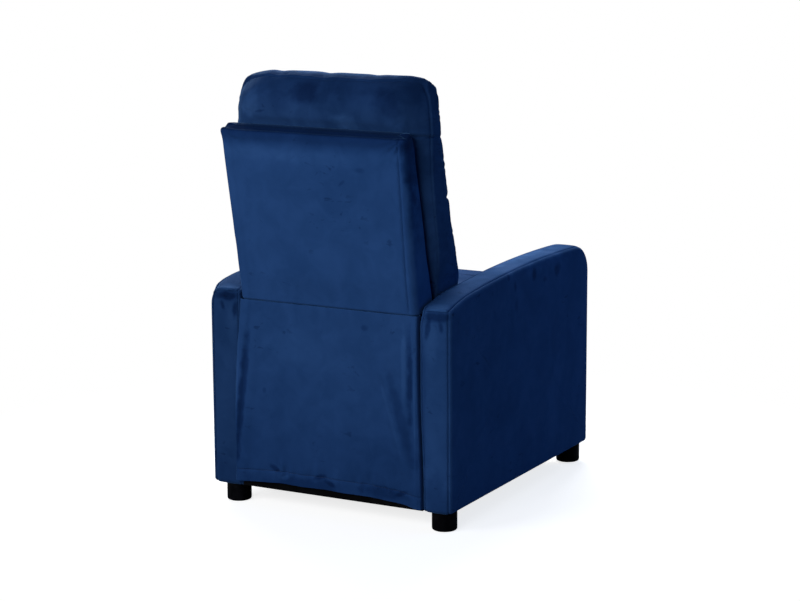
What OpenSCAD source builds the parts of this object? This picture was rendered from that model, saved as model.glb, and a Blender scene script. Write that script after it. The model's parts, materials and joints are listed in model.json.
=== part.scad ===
// Push-back reclining armchair: two upholstered arms on round feet carry a gliding
// seat, a hinged back with a loose cloth behind it, and a footrest on folding links.
// Millimetres, +Z up, the sitter faces -Y, the origin lies on the floor under the
// middle of the chair. Set-backs are distances behind the front of the arms.

/* [Arms] */
// Overall width across both arms
width = 620; // [560:5:700]
// Depth of an arm
arm_depth = 750; // [700:5:820]
// Thickness of an arm
arm_thick = 72; // [60:1:90]
// Height of the highest point of an arm
arm_peak_z = 555; // [520:5:600]
// Set-back of the highest point of an arm
arm_peak_back = 235; // [180:5:300]
// Radius of the long curve along the top of an arm
arm_top_r = 4200; // [3000:100:6000]
// Radius of the upper front corner of an arm
arm_front_r = 72; // [40:1:90]
// Radius of the upper rear corner of an arm
arm_rear_r = 34; // [20:1:60]
// Radius of the lower corners of an arm
arm_foot_r = 10; // [4:1:20]
// Thickness of the padding and cover of an arm
arm_wall = 14; // [8:1:18]
// Rounding of the edges of an arm
arm_edge = 5; // [2:0.5:8]
// Width of the wood rails of an arm's frame
arm_rail_w = 50; // [40:1:70]

/* [Feet] */
// Height of a foot
foot_h = 45; // [30:1:70]
// Diameter of a foot
foot_d = 58; // [40:1:64]
// Set-back of a front foot's centre
foot_inset = 38; // [34:1:60]
// Rounding of a foot's lower rim
foot_rim = 5; // [1:0.5:8]
// Diameter of the bolt in a foot
foot_bolt_d = 8; // [6:1:10]
// Length of the bolt in a foot
foot_bolt_len = 70; // [55:1:85]

/* [Cross rails] */
// Width of a cross rail along the chair
cross_w = 18; // [14:1:24]
// Height of a cross rail
cross_h = 30; // [24:1:40]
// Gap between the floor side of an arm and a cross rail
cross_lift = 2; // [0:1:6]
// Set-back of the front cross rail
cross_front_back = 60; // [58:1:66]
// Length of a leg of a corner bracket
corner_leg = 34; // [26:1:40]

/* [Seat] */
// Height of the highest point of the seat cushion
seat_top_z = 468; // [440:1:500]
// Side clearance between the seat cushion and an arm
seat_side_gap = 3; // [2:0.5:8]
// Set-back of the front of the seat cushion
seat_front_back = 4; // [0:1:20]
// Clearance between the seat cushion and the back
seat_back_gap = 12; // [10:1:40]
// Side clearance between the wood seat frame and the links' rivets
seat_frame_side_gap = 4; // [3:0.5:12]
// Height of the wood seat frame
seat_frame_h = 42; // [35:1:44]
// Underside of the wood seat frame
seat_frame_z = 298; // [296:1:302]
// Thickness of a board of the seat frame
seat_board = 22; // [16:1:28]
// Set-back of the front of the seat frame
seat_frame_back = 60; // [57:1:66]
// Clearance between the seat frame and the back
seat_frame_rear_gap = 28; // [25:1:60]
// Number of spring strands under the seat
strands = 4; // [3:1:5]
// Wire diameter of a spring strand
strand_wire = 3.6; // [3:0.1:4.2]
// Half width of a loop of a spring strand
strand_half_w = 24; // [18:1:28]
// Number of loops of a spring strand
strand_loops = 10; // [8:1:14]

/* [Glide] */
// Thickness of the steel plates and links
plate = 3; // [2:0.5:3]
// Height of the fixed glide rail
rail_h = 30; // [26:1:34]
// Underside of the fixed glide rail
rail_z = 248; // [240:1:250]
// Depth of the fixed glide rail's channel
rail_deep = 12.4; // [10:0.1:13]
// Wall of the fixed glide rail
rail_wall = 2.5; // [2:0.1:3]
// Length of a nylon glide block
glide_len = 40; // [30:1:50]
// Set-back of the front glide block's centre
glide_front_back = 285; // [275:1:300]
// Distance from the rear glide block's centre to the end of the side plate
glide_rear_inset = 51; // [40:1:70]
// Distance that the seat glides forward
glide_travel = 60; // [40:1:70]
// Length of rail left beyond a glide block at either end of its travel
rail_spare = 28; // [20:1:36]

/* [Footrest links] */
// Set-back of the front link's pivot on the seat
link_pivot_back = 217; // [210:1:225]
// Height of the front link's pivot on the seat
link_pivot_z = 284; // [280:1:288]
// Length of the front link between its pivots
front_link_len = 186; // [180:1:190]
// Backward lean of the folded front link in degrees
front_link_lean = 18.5; // [16:0.5:20]
// Length of the long link between its pivots
long_link_len = 228; // [222:1:230]
// Angle at which the folded long link rises, in degrees
long_link_angle = 26; // [24:0.5:28]
// Distance between the paired pivots at the long link's tail
tail_len = 36; // [34:1:38]
// Distance between the paired pivots at the front link's toe
toe_len = 33; // [31:1:35]
// Width of a link
link_w = 20; // [16:1:20]
// Diameter of a link's rivet
rivet_d = 8; // [6:0.5:9]
// Diameter of the tube that ties the two front links
tie_d = 18; // [14:1:18]

/* [Footrest] */
// Clearance between the folded footrest and the seat cushion above it
rest_top_gap = 13; // [8:1:40]
// Height of the footrest's lower edge above the floor
rest_z = 60; // [55:1:70]
// Set-back of the footrest's front
rest_back = 3; // [2:1:8]
// Thickness of the footrest's pad
rest_pad = 38; // [30:1:40]
// Thickness of the footrest's board
rest_board = 13; // [10:1:15]
// Side clearance between the footrest and an arm
rest_side_gap = 11; // [8:1:16]

/* [Back] */
// Side clearance between the back shell and an arm
shell_side_gap = 9; // [7:0.5:16]
// Distance that the top of the back stands behind the arms
back_overhang = 74; // [50:1:90]
// Height of the back shell's upper rear edge
shell_top_z = 892; // [850:1:930]
// Rise of the back shell's top towards its front
shell_top_rise = 11; // [0:1:20]
// Thickness of the back shell at its top
shell_top_t = 45; // [35:1:60]
// Height of the seam where the cloth hangs from the back
seam_z = 495; // [480:1:520]
// Distance that the seam stands behind the arms
seam_overhang = 8; // [6:1:12]
// Forward lean of the back shell's front face in degrees
shell_front_lean = 15.66; // [14:0.1:17]
// Underside of the back shell
shell_bottom_z = 300; // [295:1:310]
// Thickness of the back shell's padding and cover
shell_wall = 14; // [8:1:16]
// Rounding of the back shell's edges
shell_edge = 9; // [4:1:12]
// Distance that the back cushion stands out past the inner face of an arm
back_side_over = 12; // [4:1:16]
// Height of the top of the back cushion
back_top_z = 1024; // [980:1:1060]
// Height of the bottom of the back cushion
back_bottom_z = 482; // [478:1:490]
// Thickness of the back cushion
back_thick = 140; // [110:1:150]

/* [Back hinge] */
// Distance of the back's hinge from the rear of the arms
hinge_rear_inset = 65; // [60:1:70]
// Height of the back's hinge
hinge_z = 330; // [326:1:334]
// Diameter of the back's hinge pin
hinge_pin_d = 12; // [10:0.5:14]
// Width of a back bracket
bracket_w = 40; // [32:1:46]
// Length of a back bracket above the hinge
bracket_len = 130; // [110:1:140]

/* [Rear cloth] */
// Width that the cloth gains at the bottom on the +X side
cloth_flare_left = 33; // [0:1:40]
// Width that the cloth gains at the bottom on the -X side
cloth_flare_right = 7; // [0:1:20]
// Height of the cloth's lower edge above the floor
cloth_bottom_z = 56; // [50:1:80]
// Thickness of the cloth
cloth_t = 2.4; // [1.5:0.1:3]
// Depth of the cloth's folds
cloth_fold = 6; // [0:0.5:8]

/* [Hidden] */

// Smallest distance between pieces that lie on each other
seat_gap = 0.3;
// Radial clearance of a pin or a bolt in its hole
run_gap = 0.05;
// Overrun of a cut
over = 1;
// Segments of a small and of a large circle
fine = 32;
smooth = 64;

front_y = -(arm_depth + back_overhang) / 2;
inner_x = width / 2 - arm_thick;
arm_mid_x = width / 2 - arm_thick / 2;
arm_core = arm_thick - 2 * arm_wall;
shell_half_w = inner_x - shell_side_gap;
back_half_w = inner_x + back_side_over;
hinge_back = arm_depth - hinge_rear_inset;

// The back shell's side outline, in set-back and height
shell_rear_back = arm_depth + back_overhang;
seam_back = arm_depth + seam_overhang;
shell_front_top = [shell_rear_back - shell_top_t, shell_top_z + shell_top_rise];
function shell_front(z) = shell_front_top[0] - (shell_front_top[1] - z) * tan(shell_front_lean);
shell_rear_slope = (shell_rear_back - seam_back) / (shell_top_z - seam_z);
function shell_rear(z) = seam_back - (seam_z - z) * shell_rear_slope;

// The wood seat frame, and the steel side plates along it
seat_frame_top = seat_frame_z + seat_frame_h;
seat_frame_end = shell_front(shell_bottom_z) - seat_frame_rear_gap;
side_plate_margin = 16;
side_plate_rear_inset = 41;
plate_front_back = link_pivot_back - side_plate_margin;
plate_end_back = seat_frame_end - side_plate_rear_inset;
plate_low_z = link_pivot_z - 2 * side_plate_margin;
glide_rear_back = plate_end_back - glide_rear_inset;
cushion_z = seat_frame_top + plate + seat_gap;
rest_h = cushion_z - rest_top_gap - rest_z;

rivet_head_t = 2.4;
rivet_head_d = 15;
bolt_d = 8;
bolt_head_d = 13;
bolt_head_t = 2.5;
bolt_len = 36;

// The fixed glide rail lies on the arm, and its open side faces the seat
rail_mid_z = rail_z + rail_h / 2;
rail_back = glide_front_back - glide_len / 2 - glide_travel - rail_spare;
rail_len = glide_rear_back + glide_len / 2 + rail_spare - rail_back;
rail_out_x = inner_x - seat_gap;
rail_in_x = rail_out_x - rail_deep;
rail_bolt_inset = 14;
rail_bolt_backs = [rail_back + rail_bolt_inset, rail_back + rail_len - rail_bolt_inset];

// Places of the layers of plates, counted inwards from the arm. The heads of the seat's
// rivets clear the glide rail.
layer_gap = 1;
side_plate_x = rail_in_x - seat_gap - run_gap - rivet_head_t - plate;
function layer_x(n) = side_plate_x - n * (plate + layer_gap);
last_layer = 4;
seat_frame_half_w = layer_x(last_layer) - run_gap - rivet_head_t - seat_frame_side_gap;

// Draws on the +X side as it is given, or mirrored on the -X side
module on_side(side) {
    if (side > 0) children();
    else mirror([1, 0, 0]) children();
}

// Places a shape drawn in set-back and height so that it faces along X,
// from x_low up to x_low + thick
module upright(x_low, thick) {
    translate([x_low, front_y, 0])
        rotate([90, 0, 90])
            linear_extrude(height = thick) children();
}

// A round rod or hole along X through a set-back and a height
module rod(back, z, d, x_low, x_high, fn = fine) {
    translate([x_low, front_y + back, z])
        rotate([0, 90, 0])
            cylinder(d = d, h = x_high - x_low, $fn = fn);
}

// A box from its low corner to its high corner, with set-backs for Y
module block(x_low, x_high, back_low, back_high, z_low, z_high) {
    translate([x_low, front_y + back_low, z_low])
        cube([x_high - x_low, back_high - back_low, z_high - z_low]);
}

// Points of an arc in the plane of set-back and height
function arc(cy, cz, r, a0, a1, n) =
    [for (i = [0:n]) let (a = a0 + (a1 - a0) * i / n) [cy + r * cos(a), cz + r * sin(a)]];

// Height of the arm's top at a set-back
function arm_top(b) = arm_peak_z - pow(b - arm_peak_back, 2) / (2 * arm_top_r);

// Outline of an arm, drawn in by the distance t
arm_top_steps = 12;
arc_steps = 8;
function arm_outline(t) =
    let (
        rf = arm_front_r - t,
        rr = arm_rear_r - t,
        rb = arm_foot_r,
        top_front = arm_top(arm_front_r) - t,
        top_rear = arm_top(arm_depth - arm_rear_r) - t,
        low = foot_h + t
    )
    concat(
        arc(t + rb, low + rb, rb, 270, 180, arc_steps),
        arc(t + rf, top_front - rf, rf, 180, 90, arc_steps),
        [for (i = [1:arm_top_steps - 1])
            let (b = arm_front_r + (arm_depth - arm_rear_r - arm_front_r) * i / arm_top_steps)
            [b, arm_top(b) - t]],
        arc(arm_depth - t - rr, top_rear - rr, rr, 90, 0, arc_steps),
        arc(arm_depth - t - rb, low + rb, rb, 0, -90, arc_steps)
    );

// The middle rail inside an arm's frame reaches past the glide rail
arm_mid_under = 8;
arm_mid_over = 18;
arm_mid_rail_z = rail_z - arm_mid_under;
arm_mid_rail_h = arm_mid_under + rail_h + arm_mid_over;

module arm_cover(side) {
    color("#16376b")
    on_side(side)
    difference() {
        hull() {
            upright(inner_x, arm_thick) polygon(arm_outline(arm_edge));
            upright(inner_x + arm_edge / 3, arm_thick - arm_edge * 2 / 3) polygon(arm_outline(arm_edge / 3));
            upright(inner_x + arm_edge, arm_thick - 2 * arm_edge) polygon(arm_outline(0));
        }
        upright(inner_x + arm_wall, arm_core) polygon(arm_outline(arm_wall));
        // The bottom is open between the two walls
        block(
            inner_x + arm_wall, inner_x + arm_thick - arm_wall,
            arm_wall + arm_foot_r, arm_depth - arm_wall - arm_foot_r,
            foot_h - over, foot_h + arm_wall + over
        );
        // Holes for the bolts of the glide rail and of the back's hinge plate
        for (b = rail_bolt_backs)
            rod(b, rail_mid_z, bolt_d + 2 * run_gap, inner_x - over, inner_x + arm_wall + over);
        for (p = hinge_bolt_places)
            rod(p[0], p[1], bolt_d + 2 * run_gap, inner_x - over, inner_x + arm_wall + over);
    }
}

module arm_frame(side) {
    low = foot_h;
    color("#c9a878")
    on_side(side)
    difference() {
        union() {
            upright(inner_x + arm_wall + seat_gap, arm_core - 2 * seat_gap)
                polygon(arm_outline(arm_wall + seat_gap));
            // The bottom rail reaches down to the feet
            block(
                inner_x + arm_wall + seat_gap, inner_x + arm_thick - arm_wall - seat_gap,
                arm_wall + arm_foot_r + seat_gap, arm_depth - arm_wall - arm_foot_r - seat_gap,
                low, low + arm_wall + over
            );
        }
        // Windows below and above the middle rail
        block(
            inner_x, inner_x + arm_thick,
            arm_wall + arm_rail_w, arm_depth - arm_wall - arm_hinge_post_w,
            foot_h + arm_wall + arm_rail_w, arm_mid_rail_z
        );
        block(
            inner_x, inner_x + arm_thick,
            arm_wall + arm_rail_w, arm_depth - arm_wall - arm_hinge_post_w,
            arm_mid_rail_z + arm_mid_rail_h, arm_top(arm_depth - arm_rear_r) - arm_wall - arm_rail_w
        );
        for (b = rail_bolt_backs)
            rod(b, rail_mid_z, bolt_d + 2 * run_gap, inner_x, inner_x + bolt_len);
        for (p = hinge_bolt_places)
            rod(p[0], p[1], bolt_d + 2 * run_gap, inner_x, inner_x + bolt_len);
        for (b = foot_backs)
            translate([arm_mid_x, front_y + b, 0])
                cylinder(d = foot_bolt_d + 2 * run_gap, h = foot_bolt_top + over, $fn = fine);
    }
}
// Width of the post that carries the back's hinge
arm_hinge_post_w = 120;

foot_backs = [foot_inset, arm_depth - foot_inset];
foot_recess = 8;
foot_recess_gap = 1;
foot_bolt_top = foot_recess + foot_bolt_len;

module foot(side, back) {
    r = foot_d / 2;
    bore_r = foot_bolt_d / 2 + run_gap;
    color("#111214")
    on_side(side)
    translate([arm_mid_x, front_y + back, 0])
    difference() {
        rotate_extrude($fn = smooth)
            polygon(concat(
                [[0, 0]],
                [for (i = [0:arc_steps]) let (a = -90 + 90 * i / arc_steps)
                    [r - foot_rim + foot_rim * cos(a), foot_rim + foot_rim * sin(a)]],
                [[r, foot_h], [0, foot_h]]
            ));
        translate([0, 0, foot_recess])
            cylinder(r = bore_r, h = foot_h, $fn = fine);
        translate([0, 0, -over])
            cylinder(d = bolt_head_d + 2 * foot_recess_gap, h = foot_recess + over, $fn = fine);
    }
}

module foot_bolts() {
    color("#8c9096")
    for (side = [-1, 1])
        for (b = foot_backs)
            on_side(side)
            translate([arm_mid_x, front_y + b, foot_recess - bolt_head_t]) {
                cylinder(d = bolt_head_d, h = bolt_head_t, $fn = fine);
                cylinder(d = foot_bolt_d, h = foot_bolt_len, $fn = fine);
            }
}

cross_z = foot_h + cross_lift;
cross_half = inner_x - seat_gap;
cross_rear_back = arm_depth - cross_w;

module front_cross_rail() {
    color("#1a1a1c")
    block(-cross_half, cross_half, cross_front_back, cross_front_back + cross_w, cross_z, cross_z + cross_h);
}

module rear_cross_rail() {
    color("#1a1a1c")
    block(-cross_half, cross_half, cross_rear_back, cross_rear_back + cross_w, cross_z, cross_z + cross_h);
}

// An angle of two legs: one lies on the cross rail, one on the arm
module corner_bracket(face_back, away) {
    margin = cross_h / 6;
    leg_low = away > 0 ? face_back : face_back - corner_leg;
    flat_low = away > 0 ? face_back : face_back - plate;
    block(
        cross_half - plate, cross_half, leg_low, leg_low + corner_leg,
        cross_z + margin, cross_z + cross_h - margin
    );
    block(
        cross_half - corner_leg, cross_half, flat_low, flat_low + plate,
        cross_z + margin, cross_z + cross_h - margin
    );
}

module corner_brackets() {
    color("#8c9096")
    for (side = [-1, 1])
        on_side(side) {
            corner_bracket(cross_front_back + cross_w, 1);
            corner_bracket(cross_rear_back, -1);
        }
}

module glide_rail(side) {
    color("#2a2c30")
    on_side(side)
    difference() {
        block(rail_in_x, rail_out_x, rail_back, rail_back + rail_len, rail_z, rail_z + rail_h);
        block(
            rail_in_x - over, rail_out_x - rail_wall, rail_back - over, rail_back + rail_len + over,
            rail_z + rail_wall, rail_z + rail_h - rail_wall
        );
        for (b = rail_bolt_backs)
            rod(b, rail_mid_z, bolt_d + 2 * run_gap, rail_in_x, inner_x);
    }
}

// A bolt whose head lies on an inner face and whose shank runs into the arm
module arm_bolt(back, z, face_x) {
    rod(back, z, bolt_head_d, face_x - bolt_head_t, face_x);
    rod(back, z, bolt_d, face_x - bolt_head_t, inner_x + bolt_len - over);
}

module rail_bolts() {
    color("#8c9096")
    for (side = [-1, 1])
        on_side(side)
            for (b = rail_bolt_backs) arm_bolt(b, rail_mid_z, rail_out_x - rail_wall);
}

hinge_plate_w = 60;
hinge_plate_up = 80;
hinge_plate_x = inner_x - seat_gap - plate;
hinge_bolt_places = [
    [hinge_back - hinge_plate_w / 4, hinge_z + hinge_plate_up * 3 / 4],
    [hinge_back + hinge_plate_w / 4, hinge_z + hinge_plate_up * 3 / 4],
];

module back_hinge_plate(side) {
    color("#2a2c30")
    on_side(side)
    difference() {
        block(
            hinge_plate_x, hinge_plate_x + plate,
            hinge_back - hinge_plate_w / 2, hinge_back + hinge_plate_w / 2,
            hinge_z - hinge_plate_w / 2, hinge_z + hinge_plate_up
        );
        rod(hinge_back, hinge_z, hinge_pin_d, hinge_plate_x - over, hinge_plate_x + plate + over);
        for (p = hinge_bolt_places)
            rod(p[0], p[1], bolt_d + 2 * run_gap, hinge_plate_x - over, inner_x);
    }
}

// Distance that the shell's lower part is drawn in on each side
shell_tuck = 5.5;
// The back's brackets turn on these pins, between a collar and a clip
bracket_x = shell_half_w - shell_tuck + seat_gap;
pin_clip_t = 1.6;

module back_hinge_pins() {
    color("#8c9096")
    for (side = [-1, 1])
        on_side(side) {
            rod(
                hinge_back, hinge_z, hinge_pin_d,
                bracket_x - pin_clip_t - 2 * seat_gap, hinge_plate_x + plate
            );
            rod(
                hinge_back, hinge_z, hinge_pin_d * 3 / 2,
                bracket_x + plate + seat_gap, hinge_plate_x
            );
            rod(
                hinge_back, hinge_z, hinge_pin_d * 3 / 2,
                bracket_x - seat_gap - pin_clip_t, bracket_x - seat_gap
            );
        }
}

module hinge_bolts() {
    color("#8c9096")
    for (side = [-1, 1])
        on_side(side)
            for (p = hinge_bolt_places) arm_bolt(p[0], p[1], hinge_plate_x);
}

flange_w = side_plate_x + plate - seat_frame_half_w + seat_board;

module seat_frame() {
    color("#c9a878")
    difference() {
        block(
            -seat_frame_half_w, seat_frame_half_w, seat_frame_back, seat_frame_end,
            seat_frame_z, seat_frame_top
        );
        block(
            -seat_frame_half_w + seat_board, seat_frame_half_w - seat_board,
            seat_frame_back + seat_board, seat_frame_end - seat_board,
            seat_frame_z - over, seat_frame_top + over
        );
        for (side = [-1, 1])
            on_side(side)
                for (b = seat_screw_backs)
                    translate([seat_screw_x, front_y + b, seat_frame_top - screw_len])
                        cylinder(d = screw_d + 2 * run_gap, h = screw_len + over, $fn = fine);
        // Grooves for the ends of the spring strands, open at the top
        for (x = strand_places)
            for (b = [[strand_start - strand_wire, seat_frame_back + seat_board + over],
                      [seat_frame_end - seat_board - over, seat_frame_end - strand_end_in + strand_wire]])
                block(
                    x - strand_half_w - strand_wire, x + strand_half_w + strand_wire, b[0], b[1],
                    strand_z - strand_wire / 2 - run_gap, seat_frame_top + over
                );
    }
}

// Spring strands, hooked into grooves of the frame's front and rear boards
strand_end_in = seat_board * 2 / 3;
strand_z = seat_frame_top - strand_wire * 2;
strand_start = seat_frame_back + strand_end_in;
strand_run = seat_frame_end - seat_frame_back - 2 * strand_end_in;
strand_pitch = strand_run / strand_loops;
strand_spread = 2 * (seat_frame_half_w - seat_board) / strands;
strand_places = [for (i = [0:strands - 1]) (i - (strands - 1) / 2) * strand_spread];

// Rings along one loop of a strand, and sides of its wire
strand_rings = 6;
strand_sides = 6;
strand_swing_share = 0.8;
function strand_point(t) = [
    strand_half_w * sin(90 * cos(180 * t)),
    strand_pitch * (t + strand_swing_share * sin(360 * t) / (2 * PI)),
    0,
];
function strand_ring(t) =
    let (
        step = 1 / (4 * strand_rings),
        along = strand_point(t + step) - strand_point(t - step),
        across = [along[1], -along[0], 0] / norm(along)
    )
    [for (i = [0:strand_sides - 1]) let (a = 360 * (i + 1 / 2) / strand_sides)
        strand_point(t) + strand_wire / 2 * (cos(a) * across + [0, 0, sin(a)])];

// One unbroken wire that swings from side to side
module spring_strand() {
    rings = strand_loops * strand_rings + 1;
    points = [for (k = [0:rings - 1]) each strand_ring(k / strand_rings)];
    polyhedron(
        points = concat(points, [strand_point(0), strand_point(strand_loops)]),
        faces = ring_faces(rings, strand_sides),
        convexity = 8
    );
}
// Least gap between two neighbouring bars of a strand
strand_gap = min([
    for (i = [0:strand_rings]) for (k = [0:strand_rings])
        norm(strand_point(i / strand_rings) - strand_point(2 + k / strand_rings))
]) - strand_wire;
echo(strand_gap = strand_gap);

module seat_springs() {
    color("#8c9096")
    for (x = strand_places)
        translate([x, front_y + strand_start, strand_z])
            spring_strand();
}

// A crowned pad: rings of a square-cornered oval, one over the other.
// Each level is [height, half width, half length], and the last one is the crown.
ring_points = 48;
pad_exponent = 9;
function oval(t, e) = sign(t) * pow(abs(t), 2 / e);
function oval_ring(a, b, z, n, e) =
    [for (i = [0:n - 1]) let (t = 360 * (i + 1 / 2) / n) [a * oval(cos(t), e), b * oval(sin(t), e), z]];
function ring_faces(rings, n) = concat(
    [for (k = [0:rings - 2]) for (i = [0:n - 1]) let (j = (i + 1) % n)
        [k * n + i, (k + 1) * n + i, k * n + j]],
    [for (k = [0:rings - 2]) for (i = [0:n - 1]) let (j = (i + 1) % n)
        [k * n + j, (k + 1) * n + i, (k + 1) * n + j]],
    [for (i = [0:n - 1]) [rings * n, i, (i + 1) % n]],
    [for (i = [0:n - 1]) let (m = (rings - 1) * n) [rings * n + 1, m + (i + 1) % n, m + i]]
);

module crowned_pad(levels) {
    rings = len(levels);
    points = [for (v = levels) each oval_ring(v[1], v[2], v[0], ring_points, pad_exponent)];
    polyhedron(
        points = concat(points, [[0, 0, levels[0][0]], [0, 0, levels[rings - 1][0]]]),
        faces = ring_faces(rings, ring_points),
        convexity = 4
    );
}

// Shares of a pad's thickness, and how far its sides are drawn in there
pad_level_shares = [
    [0, 1], [0.06, 0.25], [0.16, 0], [0.3, 0.12], [0.5, 0.3], [0.66, 0.1], [0.78, 0],
    [0.88, 0.5], [0.94, 1.8], [0.975, 4.6], [0.992, 9], [1, 16],
];
function pad_levels(half_a, half_b, t, draw) =
    [for (s = pad_level_shares) [t * s[0], half_a - draw * s[1], half_b - draw * s[1]]];

seat_draw_depth = 9;
seat_depth = shell_front(cushion_z) - seat_back_gap - seat_front_back;
module seat_cushion() {
    color("#16376b")
    translate([0, front_y + seat_front_back + seat_depth / 2, cushion_z])
        crowned_pad(pad_levels(
            inner_x - seat_side_gap, seat_depth / 2, seat_top_z - cushion_z, seat_draw_depth
        ));
}

screw_d = 5;
screw_head_d = 9;
screw_len = 30;
seat_screw_x = seat_frame_half_w - seat_board / 2;
seat_screw_inset = 40;
seat_screw_backs = [plate_front_back + seat_screw_inset, plate_end_back - seat_screw_inset];

module side_plate(side) {
    color("#2a2c30")
    on_side(side)
    difference() {
        union() {
            block(
                side_plate_x, side_plate_x + plate, plate_front_back, plate_end_back,
                plate_low_z, seat_frame_top + plate
            );
            block(
                side_plate_x + plate - flange_w, side_plate_x + plate, plate_front_back, plate_end_back,
                seat_frame_top, seat_frame_top + plate
            );
        }
        for (p = [pivot_front, pivot_support])
            rod(p[0], p[1], rivet_d, side_plate_x - over, side_plate_x + plate + over);
        for (b = seat_screw_backs)
            translate([seat_screw_x, front_y + b, seat_frame_top + plate])
                screw_shape(run_gap, over);
    }
}

// A countersunk screw that points down from its flat head
module screw_shape(gap, above) {
    cone = (screw_head_d - screw_d) / 2;
    translate([0, 0, -screw_len - gap])
        cylinder(d = screw_d + 2 * gap, h = screw_len + above, $fn = fine);
    translate([0, 0, -cone - gap])
        cylinder(d1 = screw_d + 2 * gap, d2 = screw_head_d + 2 * gap, h = cone + gap, $fn = fine);
    if (above > 0)
        cylinder(d = screw_head_d + 2 * gap, h = above, $fn = fine);
}

module seat_screws() {
    color("#8c9096")
    for (side = [-1, 1])
        on_side(side)
            for (b = seat_screw_backs)
                translate([seat_screw_x, front_y + b, seat_frame_top + plate - run_gap])
                    screw_shape(0, 0);
}

module glide_blocks() {
    color("#e8e6df")
    for (side = [-1, 1])
        on_side(side)
            for (b = [glide_front_back, glide_rear_back])
                block(
                    side_plate_x + plate, rail_out_x - rail_wall - 2 * seat_gap - bolt_head_t,
                    b - glide_len / 2, b + glide_len / 2,
                    rail_z + rail_wall + seat_gap, rail_z + rail_h - rail_wall - seat_gap
                );
}

// Pivots of the links, as [set-back, height] with the footrest folded
function toward(p, len, a) = [p[0] - len * cos(a), p[1] + len * sin(a)];
link_down = -90 - front_link_lean;
pivot_front = [link_pivot_back, link_pivot_z];
pivot_support = toward(pivot_front, -tail_len, long_link_angle);
joint_front = toward(pivot_front, front_link_len, link_down);
joint_tail = toward(joint_front, -tail_len, long_link_angle);
joint_toe = toward(joint_front, toe_len, link_down);
rest_pivot = toward(joint_front, long_link_len, long_link_angle);
rest_toe = toward(rest_pivot, toe_len, link_down);
echo(
    pivot_front = pivot_front, pivot_support = pivot_support, joint_front = joint_front,
    joint_tail = joint_tail, joint_toe = joint_toe, rest_pivot = rest_pivot, rest_toe = rest_toe,
    front_y = front_y
);

// A flat link in one layer, with round ends and a hole at each place
module link_bar(from, to, holes, n) {
    difference() {
        upright(layer_x(n), plate)
            hull() {
                translate(from) circle(d = link_w, $fn = fine);
                translate(to) circle(d = link_w, $fn = fine);
            }
        for (p = holes)
            rod(p[0], p[1], rivet_d + 2 * run_gap, layer_x(n) - over, layer_x(n) + plate + over);
    }
}

// A rivet that joins two layers, the outer one out_n and the inner one in_n
module rivet(p, out_n, in_n) {
    x_low = layer_x(in_n);
    x_high = layer_x(out_n) + plate;
    rod(p[0], p[1], rivet_d, x_low - run_gap, x_high + run_gap);
    rod(p[0], p[1], rivet_head_d, x_low - run_gap - rivet_head_t, x_low - run_gap);
    rod(p[0], p[1], rivet_head_d, x_high + run_gap, x_high + run_gap + rivet_head_t);
    // The collar fills the space between the two layers
    rod(
        p[0], p[1], rivet_d * 3 / 2,
        x_low + plate + run_gap, layer_x(out_n) - run_gap
    );
}

module seat_rivets() {
    color("#8c9096")
    for (side = [-1, 1])
        on_side(side) {
            rivet(pivot_front, 0, 2);
            rivet(pivot_support, 0, 3);
        }
}

module front_link(side) {
    color("#2a2c30")
    on_side(side)
    difference() {
        link_bar(pivot_front, joint_toe, [pivot_front, joint_front, joint_toe], 2);
        rod(tie_place[0], tie_place[1], tie_d - 2 * plate, layer_x(2) - over, layer_x(2) + plate + over);
    }
}

tie_place = (pivot_front + joint_front) / 2;
module front_link_tie() {
    color("#2a2c30")
    difference() {
        rod(tie_place[0], tie_place[1], tie_d, -layer_x(2), layer_x(2), smooth);
        rod(tie_place[0], tie_place[1], tie_d - 2 * plate, -layer_x(2) - over, layer_x(2) + over, smooth);
    }
}

module front_link_rivets() {
    color("#8c9096")
    for (side = [-1, 1])
        on_side(side) {
            rivet(joint_front, 2, 4);
            rivet(joint_toe, 1, 2);
        }
}

module support_link(side) {
    color("#2a2c30")
    on_side(side)
        link_bar(pivot_support, joint_tail, [pivot_support, joint_tail], 3);
}

module long_link(side) {
    color("#2a2c30")
    on_side(side)
        link_bar(joint_tail, rest_pivot, [joint_tail, joint_front, rest_pivot], 4);
}

module long_link_rivets(side) {
    color("#8c9096")
    on_side(side)
        rivet(joint_tail, 3, 4);
}

module upper_link(side) {
    color("#2a2c30")
    on_side(side)
        link_bar(joint_toe, rest_toe, [joint_toe, rest_toe], 1);
}

rest_half_w = inner_x - rest_side_gap;
rest_board_back = rest_back + rest_pad + seat_gap;
rest_board_end = rest_board_back + rest_board;
rest_board_margin = 8;

module footrest_board() {
    color("#c9a878")
    difference() {
        block(
            -rest_half_w + rest_board_margin, rest_half_w - rest_board_margin,
            rest_board_back, rest_board_end,
            rest_z + rest_board_margin, rest_z + rest_h - rest_board_margin
        );
        for (side = [-1, 1])
            on_side(side)
                for (z = rest_screw_zs)
                    translate([rest_screw_x, front_y + rest_board_end, z])
                        rotate([-90, 0, 0])
                            translate([0, 0, -rest_screw_len - run_gap])
                                cylinder(d = screw_d + 2 * run_gap, h = rest_screw_len + over, $fn = fine);
    }
}

rest_draw_depth = 6;
module footrest_pad() {
    color("#16376b")
    translate([0, front_y + rest_back + rest_pad, rest_z + rest_h / 2])
        rotate([90, 0, 0])
            crowned_pad(pad_levels(rest_half_w, rest_h / 2, rest_pad, rest_draw_depth));
}

rest_flange_w = 30;
rest_screw_len = 10;
rest_screw_x = layer_x(3) - rest_flange_w / 2;
rest_flange_up = 34;
rest_screw_zs = [rest_pivot[1] + rest_flange_up / 2, rest_toe[1] - rest_flange_up / 2];

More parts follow.
